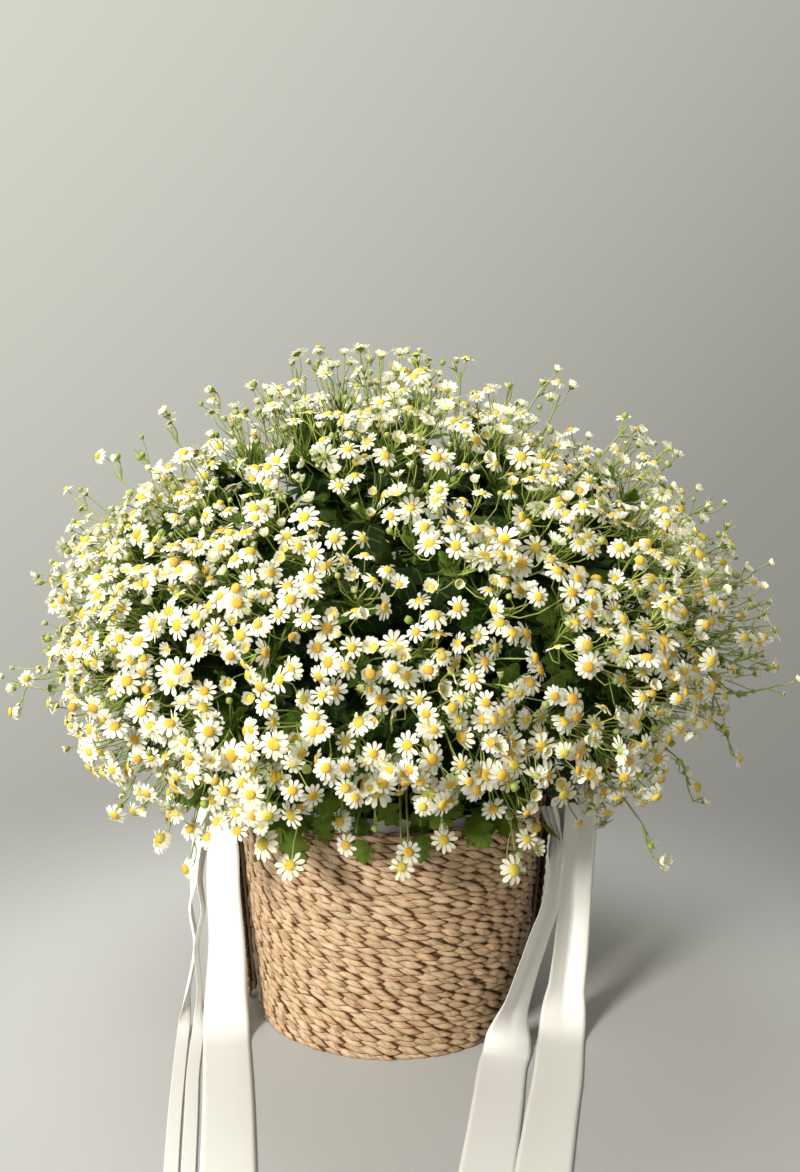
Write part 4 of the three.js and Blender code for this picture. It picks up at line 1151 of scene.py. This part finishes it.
def weave_row(skin, patterns, height, inward, tilt, shift, row_height):
    """One round of stitches. tilt leans their outward side up, as on the rim."""
    azimuth = TURN * (np.arange(STITCHES) + shift + spread(-0.14, 0.14, STITCHES)) / STITCHES
    radius = wall_radius(height) - inward
    out = circle(1, azimuth, 0.0)
    right = np.cross(UP, out)
    leaning = out * math.cos(tilt) + UP * math.sin(tilt)
    above = np.cross(leaning, right)
    roll = spread(-STITCH_ROLL, STITCH_ROLL, STITCHES)[:, None]
    right, above = right + roll * above, above - roll * right
    places = out * (radius + spread(*STITCH_STANDS, STITCHES)[:, None])
    places[:, 2] = height + spread(*STITCH_LEVELS, STITCHES)
    length = TURN * radius / STITCHES * STITCH_LENGTH
    scale = np.stack([length * spread(0.92, 1.12, STITCHES), row_height * spread(0.90, 1.12, STITCHES),
                      STITCH_DEPTH * spread(0.75, 1.20, STITCHES)], 1)
    add_stitches(skin, patterns, places, right, above, leaning, scale)


def basket_pieces(looks):
    """The rows of straws with the turned row on the rim, and the plain body behind them, dark with painted
    shade.
    """
    patterns = [stitch_skin(seed) for seed in (0.0, 1.3, 2.6, 3.9, 5.2)]
    row_height = BASKET_HEIGHT / WEAVE_ROWS
    weave = Skin()
    shift = 0.0
    for row in range(WEAVE_ROWS):
        height = (row + 0.5) * row_height
        weave_row(weave, patterns, height, WEAVE_INSET, 0.0, shift, row_height)
        shift += DRAWS.uniform(-0.26, 0.42)
    weave_row(weave, patterns, BASKET_HEIGHT - RIM_ROW_DROP, RIM_ROW_INSET, RIM_ROW_TILT, RIM_ROW_SHIFT,
              RIM_ROW_HEIGHT * row_height)
    above_ground(weave)
    piece("basket_weave", weave, looks["weave"], "weave", "basket")
    inner = RIM_RADIUS - WALL
    floor = wall_radius(BASKET_FLOOR) - WALL
    profile = ((0.0, 0.0005), (BASE_RADIUS - 0.003, 0.0005), (BASE_RADIUS - 0.001, 0.003),
               (RIM_RADIUS - 0.0015, BASKET_HEIGHT - 0.004), (RIM_RADIUS - 0.004, BASKET_HEIGHT - 0.002),
               (inner, BASKET_HEIGHT - 0.002), (floor, BASKET_FLOOR), (0.0, BASKET_FLOOR))
    piece("basket_body", revolved(profile, BASKET_SIDES), looks["shaded_backing"], "weave", "basket")


def band_piece(name, azimuth, bottom, frayed, looks):
    """A plaited strip down the wall: two columns of stitches that meet in a chevron."""
    skin = Skin()
    patterns = [stitch_skin(seed) for seed in (0.7, 2.1, 4.4)]
    out = polar(1, azimuth, 0.0)
    across = polar(1, azimuth + math.pi / 2, 0.0)
    length, step, depth = BAND_STITCH
    count = int((BAND_TOP - bottom) / step)
    heights = bottom + (np.arange(count) + 0.5) * (BAND_TOP - bottom) / count
    near = np.array([wall_radius(height) + BAND_RISE + 0.0005 for height in heights])
    for side in (-1, 1):
        places = out * (near + 0.0015)[:, None] + across * side * BAND_COLUMN
        places[:, 2] = heights
        lean = unit(np.tile(-UP * 0.8 + across * side * 0.75, (count, 1)))
        outward = np.tile(out, (count, 1))
        above = np.cross(outward, lean)
        scale = np.stack([np.full(count, length), step * spread(0.95, 1.15, count),
                          depth * spread(0.9, 1.1, count)], 1)
        add_stitches(skin, patterns, places, lean, above, outward, scale)
    skin.add(*band_core(out, across, bottom).together())
    if frayed:
        fray(skin, out, across, bottom)
    above_ground(skin)
    piece(f"{name}_plait", skin, looks["weave"], "weave", name)


def band_core(out, across, bottom):
    """The plain strip behind a band's stitches."""
    rows = []
    for height in np.linspace(BAND_TOP, bottom + 0.002, 14):
        inner = wall_radius(height) + BAND_RISE + 0.0003
        outer = inner + BAND_THICKNESS
        corners = ((outer, -BAND_HALF), (outer, BAND_HALF), (inner, BAND_HALF), (inner, -BAND_HALF))
        rows.append([out * radius + across * aside + UP * height for radius, aside in corners])
    # Its middle shade number of 0.30 paints the core a little darker: painted shade behind the stitches.
    return grid(np.array(rows), closed=True, shade=(0.7, 0.30, 0.5))


def fray(skin, out, across, bottom):
    """Loose fibres that stick out of a band's lower end."""
    count = FRAY_FIBRES
    start = out * (wall_radius(bottom) + BAND_RISE + 0.003) + UP * (bottom + 0.012)
    start = start + across * spread(-0.010, 0.010, count)[:, None]
    start = start + out * spread(-0.002, 0.003, count)[:, None]
    end = start - UP * spread(0.008, 0.015, count)[:, None]
    end = end + out * spread(-0.001, 0.006, count)[:, None]
    end = end + across * spread(-0.004, 0.004, count)[:, None]
    middle = 0.5 * (start + end) + out * spread(0, 0.002, count)[:, None]
    paths = bezier(start, middle, middle, end, len(FRAY_RADII))
    tints = np.stack([spread(0.4, 1, count), np.full(count, 0.8), np.full(count, 0.2)], 1)
    tubes(skin, paths, FRAY_RADII, 4, tints)


# Film and soil


def film_piece(looks):
    """The lining film: smooth where the soil presses it out, pleated above."""
    angle = TURN * np.arange(FILM_COLUMNS) / FILM_COLUMNS
    ruffle = FILM_WAVE * (np.sin(3 * angle + 1) + 0.6 * np.sin(7 * angle)) / 1.6
    pleats = np.sin(31 * angle + 2 * np.sin(3 * angle)) + 0.5 * np.sin(57 * angle + 1)
    rows = []
    for height, flare, pleated in FILM_ROWS:
        share = portion(height, SOIL_TOP, FILM_TOP - SOIL_TOP)
        wall = wall_radius(min(height, BASKET_HEIGHT)) - WALL - FILM_GAP
        radius = wall + flare + FILM_PLEAT * pleated * pleats + 0.5 * ruffle * share
        level = height + ruffle * share**2 + 0.0012 * share**4 * np.sin(23 * angle)
        rows.append(circle(radius, angle, level))
    piece("film", grid(np.array(rows), closed=True), looks["film"], "film", "liner")


def soil_pieces(looks):
    """The soil keeps its solid. Crumbs lie on it between the stems."""
    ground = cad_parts["soil"]
    ground.data.materials.clear()
    ground.data.materials.append(looks["soil"])
    angle = TURN * np.arange(CRUMB_SIDES) / CRUMB_SIDES
    outline = ((0.5, -0.5, 0), (1.0, -0.1, 0.5), (0.75, 0.5, 0), (0.1, 0.75, 0.3))
    crumb = grid(np.array([circle(wide, angle + turn, level) for wide, level, turn in outline]), closed=True)
    radius = SOIL_RADIUS * np.sqrt(spread(0, 1, CRUMBS))
    azimuth = spread(0, TURN, CRUMBS)
    places = circle(radius, azimuth, SOIL_TOP + 0.001)
    axes = turned(unit(DRAWS.normal(size=(CRUMBS, 3))), spread(0, TURN, CRUMBS))
    crumbs = Skin()
    crumbs.scatter(crumb, places, axes, spread(*CRUMB_SIZES, CRUMBS), np.full((CRUMBS, 2), 0.5))
    piece("soil_crumbs", crumbs, looks["soil"], "soil")


# Ribbons. Each point is x, y and z in millimetres, the x and y of the way that the width runs, and the
# share of the width that is left where the ribbon is gathered

RIGHT_FRONT_TAIL = (
    (133, -22, 178, 0.8, -0.5, 0.5), (137, -22, 166, 0.9, -0.4, 0.4), (141, -24, 153, 1.0, -0.1, 0.26),
    (141, -34, 130, 0.6, 0.8, 0.6), (134, -49, 104, 0.58, 0.81, 0.9),
    (122, -63, 78, 0.62, 0.78, 1), (110, -76, 50, 0.66, 0.75, 1), (100, -88, 24, 0.75, 0.66, 1),
    (96, -98, 9, 0.9, 0.3, 1), (93, -109, 2.5, 1, 0, 1), (88, -128, 0.8, 1, -0.15, 1),
    (80, -180, 0.8, 1, -0.15, 1), (71, -235, 0.8, 1, -0.15, 1), (61, -292, 0.8, 1, -0.15, 1),
)
RIGHT_OUTER_TAIL = (
    (148, -8, 151, 0.9, 0.4, 0.3), (153, 4, 172, 0.9, 0.4, 0.7), (157, 9, 190, 0.95, 0.3, 1),
    (160, 5, 199, 0.95, 0.3, 1), (162, -3, 198, 0.95, 0.3, 1), (163, -10, 185, 0.95, 0.3, 1),
    (161, -16, 155, 0.95, 0.3, 1), (157, -26, 110, 0.95, 0.3, 1), (152, -42, 62, 1, 0.2, 1),
    (146, -58, 24, 1, 0, 1), (143, -69, 8, 1, -0.1, 1), (139, -88, 0.8, 1, -0.2, 1),
    (130, -140, 0.8, 1, -0.2, 1), (117, -200, 0.8, 1, -0.2, 1), (98, -292, 0.8, 1, -0.2, 1),
)
LEFT_TAIL = (
    (-147, -12, 166, 0.8, -0.6, 0.35), (-144, -24, 145, 0.82, -0.57, 0.9), (-143, -35, 110, 0.82, -0.57, 1),
    (-139, -47, 66, 0.85, -0.5, 1), (-138, -60, 26, 0.95, -0.3, 1), (-136, -71, 9, 1, 0, 1),
    (-133, -90, 0.8, 1, 0.15, 1), (-125, -140, 0.8, 1, 0.15, 1), (-116, -200, 0.8, 1, 0.15, 1),
    (-103, -294, 0.8, 1, 0.15, 1),
)
NARROW_OUTER = (
    (-143, 5, 180, 0.2, 1, 0.5), (-155, 8, 177, 0.6, 0.8, 1), (-165, 5, 164, 1, 0.1, 1),
    (-168, -4, 140, 1, -0.2, 1), (-170, -14, 114, 0.8, -0.6, 1), (-172, -24, 90, -0.1, -1, 1),
    (-166, -38, 62, -0.2, -1, 1), (-170, -53, 30, -0.3, -1, 1), (-171, -66, 9, -0.8, -0.6, 1),
    (-170, -84, 0.8, -1, -0.15, 1), (-163, -140, 0.8, -1, -0.15, 1), (-155, -200, 0.8, -1, -0.15, 1),
    (-143, -280, 0.8, -1, -0.15, 1),
)
NARROW_INNER = (
    (-143, 1, 178, 0.2, 1, 0.5), (-152, 2, 174, 0.2, 1, 1), (-158, 0, 162, 0.3, 1, 1),
    (-161, -8, 140, 0.4, 0.9, 1), (-164, -18, 112, 0.3, 1, 1), (-160, -29, 88, 0.2, 1, 1),
    (-164, -41, 62, 0.3, 1, 1), (-160, -54, 30, 0.3, 1, 1), (-159, -66, 9, 0.8, 0.6, 1),
    (-158, -84, 0.8, 1, 0.15, 1), (-152, -140, 0.8, 1, 0.15, 1), (-143, -200, 0.8, 1, 0.15, 1),
    (-131, -284, 0.8, 1, 0.15, 1),
)


def smooth_through(points, steps):
    """A smooth curve through given points, with every column carried along."""
    points = np.array(points, float)
    padded = np.concatenate([points[:1], points, points[-1:]])
    t = np.linspace(0, 1, steps, endpoint=False)[:, None]
    pieces = []
    for k in range(len(points) - 1):
        before, start, end, after = padded[k:k + 4]
        bow = t**2 * (before - 2.5 * start + 2 * end - 0.5 * after)
        sway = 0.5 * t**3 * (3 * (start - end) + after - before)
        pieces.append(start + 0.5 * t * (end - before) + bow + sway)
    return np.concatenate([*pieces, points[-1:]])


def ribbon_skin(points, width, folds, crease, shade):
    """A satin strip along its points, with soft lengthwise folds. Also says how long it is."""
    rows = smooth_through(points, RIBBON_STEPS)
    path = rows[:, :3] * 0.001
    path[:, 2] = np.maximum(path[:, 2], LOWEST_RIBBON)
    ahead = unit(np.gradient(path, axis=0))
    across = np.hstack([rows[:, 3:5], np.zeros((len(rows), 1))])
    across = unit(across - (across * ahead).sum(-1, keepdims=True) * ahead)
    flat = np.cross(ahead, across)
    share = np.linspace(-1, 1, RIBBON_COLUMNS)
    gathered = rows[:, 5:6]
    hanging = portion(path[:, 2:3], 0, 0.03)
    steps = np.linalg.norm(np.diff(path, axis=0), axis=1)
    distance = np.concatenate([[0], np.cumsum(steps)])[:, None]
    soft = folds * hanging * np.sin(1.9 * share + 9 * distance)
    soft = soft + 0.5 * folds * hanging * np.cos(4.2 * share - 5 * distance)
    pinch = 0.0035 * (1 - gathered) * np.cos(3 * math.pi * share)
    folded = crease * gathered * hanging
    hem = HEM_TURN * hanging * gathered * (share > 0.99)
    lift = soft + pinch + folded * (np.abs(share) - 0.5) - hem
    aside = share * np.sqrt(np.maximum((gathered * width / 2) ** 2 - folded**2, 0))
    surface = path[:, None] + across[:, None] * aside[..., None] + flat[:, None] * lift[..., None]
    skin = grid(surface, shade=(shade, 0.5, 0.5))
    u, v = np.broadcast_arrays((share + 1) / 2, distance)
    skin.uvs = [np.stack([u.ravel(), v.ravel()], 1)]
    return skin, float(steps.sum())


def ribbon_piece(name, points, width, folds, crease, shade, looks, node):
    """One strand of ribbon, as a thin sheet."""
    skin, length = ribbon_skin(points, width, folds, crease, shade)
    made = piece(name, skin, looks["satin"], "satin", node)
    solid = made.modifiers.new("thickness", "SOLIDIFY")
    solid.thickness = RIBBON_THICKNESS
    solid.offset = 0


def knot_piece(name, centre, size, looks, node):
    """A small tight knot of folded satin."""
    rows, columns = 18, 28
    tilt = np.linspace(0.02, math.pi - 0.02, rows)[:, None]
    turn = TURN * np.arange(columns)[None] / columns
    folds = 1 + 0.10 * np.sin(5 * turn + 3 * tilt) * np.sin(tilt) + 0.06 * np.sin(9 * tilt + 2 * turn)
    radius = 1.05 * KNOT_RADIUS * size * folds
    waist = 1 - 0.18 * np.exp(-((tilt - math.pi / 2) / 0.25) ** 2)
    x = 0.8 * radius * np.sin(tilt) * np.cos(turn) * waist
    y = 1.15 * radius * np.sin(tilt) * np.sin(turn) * waist
    z = radius * np.cos(tilt) + 0 * turn
    points = np.stack([x, y, z], axis=-1) + np.array(centre) * 0.001
    # A shade of 0.35 paints the knot warm grey: painted shade.
    skin = grid(points, closed=True, shade=(0.35, 0.5, 0.5))
    return piece(name, skin, looks["satin"], "satin", node)


def ribbon_pieces(looks):
    """The knots and strands. A strand's row has its points, width, folds, crease and shade; the shade paints
    its satin grey, as painted shade.
    """
    right = knot_piece("ribbon_right_knot", (143.9, -10, 149), 0.8, looks, "ribbon_right")
    left = knot_piece("ribbon_left_knot", (-145.9, -8, 167), 1.0, looks, "ribbon_left")
    narrow = knot_piece("ribbon_narrow_knot", (-142.3, 3, 178), 0.55, looks, "ribbon_narrow")
    rows = (
        ("ribbon_right_front_tail", RIGHT_FRONT_TAIL, RIBBON_WIDTH, 0.0012, 0.0055, 0.0, right),
        ("ribbon_right_outer_tail", RIGHT_OUTER_TAIL, RIBBON_WIDTH, 0.0010, 0.0105, 0.2, None),
        ("ribbon_left_tail", LEFT_TAIL, RIBBON_WIDTH, 0.0014, 0.0, 0.0, left),
        ("ribbon_narrow_outer", NARROW_OUTER, NARROW_WIDTH, 0.0004, 0.0, 0.1, narrow),
        ("ribbon_narrow_inner", NARROW_INNER, NARROW_WIDTH, 0.0004, 0.0, 0.2, None),
    )
    for name, points, width, folds, crease, shade, knot in rows:
        node = "_".join(name.split("_")[:2])
        ribbon_piece(name, points, width, folds, crease, shade, looks, node)


# Leaves over the rim

SHOOT_FOOT = 0.106
SHOOT_LEAVES = (1, 5, 6, 6, 6, 6, 5, 1)
SHOOTS = len(SHOOT_LEAVES)

# A shoot's route: how far outward from its foot, and the height
SHOOT_ROUTE = ((0, SOIL_TOP - HOLE_DEPTH), (0, SOIL_TOP + 0.002), (0.001, 0.196), (0.008, 0.212),
               (0.015, 0.217), (0.024, 0.219))

# Leaves from the soil: how far out their feet and ends are, how high the ends are, and how steeply
# they may point down
BASAL_LEAVES = 84
BASAL_FEET = (0.07, 0.10)
BASAL_ENDS = (0.115, 0.165)
BASAL_LEVELS = (0.200, 0.250)
LEAST_BASAL_RISE = -0.2

# Leaves seen in front of the rim: the middle's x, y and z and the length in millimetres, and how far
# the leaf points aside for each part that it points down
SEEN_LEAVES = (
    (-108, -75, 162, 26, -0.6), (-76, -112, 178, 34, 0.2), (-86, -104, 186, 26, -0.7),
    (-64, -112, 190, 26, 0.9), (-53, -122, 194, 25, 0.4), (-22, -135, 181, 22, 0.3),
    (-22, -126, 196, 22, -0.5), (24, -135, 184, 25, 0.0), (23, -124, 201, 24, 0.5),
    (-33, -137, 220, 34, -0.9), (-3, -132, 211, 28, 0.7), (-14, -132, 226, 30, -0.4),
    (75, -118, 205, 24, 0.4), (92, -100, 196, 22, -0.3), (-95, -110, 205, 28, -0.8),
    (50, -126, 214, 24, 0.8),
)


def rim_pieces(looks):
    """Leafy shoots that lean out over the rim, leaves from the soil, and the leaves seen in front."""
    pattern = petiole_and_leaf(3.4, 25, 7)
    stems = Skin()
    leaves = Skin()
    for k, count in enumerate(SHOOT_LEAVES):
        grow_shoot(stems, leaves, pattern, FRONT + (k + 0.5) / SHOOTS * TURN, count)
    grow_basal_leaves(stems, leaves)
    hang_seen_leaves(stems, leaves, pattern)
    nodes = [f"leafy_shoot_{k + 1:02d}" for k in range(SHOOTS)]
    piece("rim_leaves", leaves, looks["leaf"], "leaf", *nodes)
    piece("rim_stems", stems, looks["stem"], "leaf", *nodes)


def grow_shoot(stems, leaves, pattern, azimuth, count):
    """One shoot that leans out over the rim, with its leaves round its upper part."""
    route = np.array([polar(SHOOT_FOOT + outward, azimuth, height) for outward, height in SHOOT_ROUTE])
    tubes(stems, route[None], np.linspace(*SHOOT_RADII, len(route)), 6, [(0.3, 0.2, 0.5)])
    turn = azimuth + np.linspace(-1.3, 1.3, count) + spread(-0.15, 0.15, count)
    places = route[DRAWS.randint(3, len(route), count)]
    ahead = circle(1, turn, spread(-0.5, 0.15, count))
    over = UP + 0.35 * DRAWS.normal(size=(count, 3)) + 0.5 * polar(1, azimuth, 0)
    shades = np.stack([spread(0.3, 1, count), spread(0, 0.5, count)], 1)
    leaves.scatter(pattern, places, leaf_axes(ahead, over), spread(*SHOOT_LEAF, count), shades)


def grow_basal_leaves(stems, leaves):
    """Leaves all round on thin stalks, from the soil to just above the rim."""
    count = BASAL_LEAVES
    azimuth = TURN * (np.arange(count) + spread(-0.4, 0.4, count)) / count
    out = circle(1, azimuth, 0.0)
    feet = out * spread(*BASAL_FEET, count)[:, None] + UP * (SOIL_TOP - 0.004)
    ends = out * spread(*BASAL_ENDS, count)[:, None]
    ends[:, 2] = spread(*BASAL_LEVELS, count)
    paths = bezier(feet, feet + 0.03 * UP, ends - 0.02 * out, ends, 6)
    tubes(stems, paths, BASAL_STALK, 4, [(0.4, 0.3, 0.5)] * count)
    noise = DRAWS.normal(size=(2, count, 3))
    ahead = out - 0.1 * UP + 0.45 * noise[0]
    ahead[:, 2] = np.maximum(ahead[:, 2], LEAST_BASAL_RISE)
    axes = leaf_axes(ahead, 0.7 * UP + 0.6 * out + 0.3 * noise[1])
    shades = np.stack([spread(0.5, 1, count), spread(0, 0.6, count)], 1)
    leaves.scatter(petiole_and_leaf(3.0, 15), ends, axes, spread(*BASAL_LEAF, count), shades)


def hang_seen_leaves(stems, leaves, pattern):
    """The leaves seen in front of the rim, each on a stalk from inside it."""
    seen = np.array(SEEN_LEAVES, float)
    count = len(seen)
    middles = seen[:, :3] * 0.001
    lengths = seen[:, 3] * 0.001
    out = unit(middles * (1, 1, 0))
    aside = np.cross(UP, out)
    ahead = unit(seen[:, 4:5] * aside - UP + 0.15 * out)
    over = out + 0.35 * UP + 0.2 * DRAWS.normal(size=(count, 3))
    feet = middles - 0.55 * lengths[:, None] * ahead
    axes = leaf_axes(ahead, over)
    shades = np.stack([spread(0.4, 1, count), spread(0.1, 0.6, count)], 1)
    leaves.scatter(pattern, feet, axes, lengths, shades)
    roots = out * 0.108 + UP * 0.205
    paths = bezier(roots, roots + 0.02 * UP, feet - 0.3 * lengths[:, None] * ahead, feet, 6)
    tubes(stems, paths, SEEN_STALK, 4, [(0.5, 0.4, 0.5)] * count)


# Stage, light and camera

BACKDROP_SLOPE = (-0.42, 0.20, 0.40)
BACKDROP_LEVEL = 0.235
BACKDROP = ((0.0, (0.235, 0.23, 0.21)), (0.15, (0.245, 0.24, 0.22)), (0.30, (0.325, 0.32, 0.285)),
            (1.0, (1.0, 1.0, 0.89)))
FLOOR_REACH = 1.5
# The floor's colour by distance from the middle: lighter near the object, as a painted pool of light.
FLOOR_LIGHT_POOL = ((0.10, (0.46, 0.46, 0.455)), (0.85, (0.20, 0.20, 0.195)))
FLOOR_FADES = (0.20, 0.95)

# Each light's place, what it points at, and its size, power and colour
LIGHTS = (
    ("key", (-1.75, -2.2, 1.45), (0, 0, 0.25), 0.8, 144, (1.0, 0.975, 0.92)),
    ("top", (-0.4, 0.3, 2.4), (0, 0, 0.3), 1.6, 42, (1.0, 1.0, 1.0)),
    ("fill", (1.5, -1.8, 0.35), (0, 0, 0.12), 1.2, 7, (1.0, 0.92, 0.78)),
)


def floor_piece():
    """A pale floor, painted lighter near the object as a painted pool of light, that fades out some way from
    the object.
    """
    mesh = bpy.data.meshes.new("floor")
    corners = ((-1, -1), (1, -1), (1, 1), (-1, 1))
    mesh.from_pydata([(x * FLOOR_REACH, y * FLOOR_REACH, 0) for x, y in corners], [], [(0, 1, 2, 3)])
    floor = bpy.data.objects.new("floor", mesh)
    bpy.context.scene.collection.objects.link(floor)
    look = Look("floor", Roughness=0.6)
    away = look.node("ShaderNodeVectorMath", {0: look.here()}, operation="LENGTH").outputs["Value"]
    # Lighter near the object, darker further out: a painted pool of light.
    look.colour(look.ramp(away, *FLOOR_LIGHT_POOL))
    values = {"Value": away, "From Min": FLOOR_FADES[0], "From Max": FLOOR_FADES[1]}
    fade = look.node("ShaderNodeMapRange", values, interpolation_type="SMOOTHSTEP")
    clear = look.node("ShaderNodeBsdfTransparent", {})
    values = {0: fade.outputs[0], 1: look.shader.outputs[0], 2: clear.outputs[0]}
    both = look.node("ShaderNodeMixShader", values)
    look.set(look.nodes["Material Output"], {"Surface": both.outputs[0]})
    mesh.materials.append(look.material)


def world_light():
    """A grey studio backdrop, lighter to the upper left, darker to the lower right and in front."""
    world = bpy.data.worlds.new("studio")
    bpy.context.scene.world = world
    world.use_nodes = True
    nodes = world.node_tree.nodes
    links = world.node_tree.links
    where = nodes.new("ShaderNodeTexCoord")
    total = nodes.new("ShaderNodeVectorMath")
    total.operation = "DOT_PRODUCT"
    total.inputs[1].default_value = BACKDROP_SLOPE
    links.new(where.outputs["Generated"], total.inputs[0])
    ramp = nodes.new("ShaderNodeValToRGB")
    level = nodes.new("ShaderNodeMath")
    level.inputs[1].default_value = BACKDROP_LEVEL
    links.new(total.outputs["Value"], level.inputs[0])
    links.new(level.outputs[0], ramp.inputs[0])
    elements = ramp.color_ramp.elements
    while len(elements) < len(BACKDROP):
        elements.new(0.5)
    for element, (position, colour) in zip(elements, BACKDROP):
        element.position = position
        element.color = (*colour, 1.0)
    links.new(ramp.outputs[0], nodes["Background"].inputs["Color"])


def area_light(name, place, target, size, power, colour):
    """A round lamp that points at its target."""
    light = bpy.data.lights.new(name, "AREA")
    light.shape = "DISK"
    light.size = size
    light.energy = power
    light.color = colour
    made = bpy.data.objects.new(name, light)
    made.location = place
    aim = np.array(target) - np.array(place)
    made.rotation_euler = Vector(aim).to_track_quat("-Z", "Y").to_euler()
    bpy.context.scene.collection.objects.link(made)


def camera_and_lights():
    """The photo's camera, and light from the left, from above and from the right."""
    camera = bpy.data.objects.new("camera", bpy.data.cameras.new("camera"))
    camera.location = CAMERA_PLACE
    camera.rotation_euler = (math.pi / 2 - CAMERA_PITCH, 0, 0)
    camera.data.lens = CAMERA_LENS
    bpy.context.scene.collection.objects.link(camera)
    bpy.context.scene.camera = camera
    bpy.context.scene.view_settings.view_transform = "Standard"
    for light in LIGHTS:
        area_light(*light)
    world_light()


def make_looks():
    """Each material, made once."""
    return {"petal": petal_look(), "disc": disc_look(), "stem": stem_look(), "leaf": leaf_look(),
            "weave": weave_look(), "shaded_backing": shaded_backing_look(), "film": film_look(), "soil": soil_look(),
            "satin": satin_look()}


camera_and_lights()
floor_piece()
LOOKS = make_looks()
SPRAY_LIST = place_sprays(place_blooms())
foliage_pieces(SPRAY_LIST, flower_pieces(SPRAY_LIST, LOOKS), LOOKS)
basket_pieces(LOOKS)
band_piece("side_band_left", math.pi, 0.006, True, LOOKS)
band_piece("side_band_right", 0.0, 0.030, False, LOOKS)
film_piece(LOOKS)
soil_pieces(LOOKS)
ribbon_pieces(LOOKS)
rim_pieces(LOOKS)
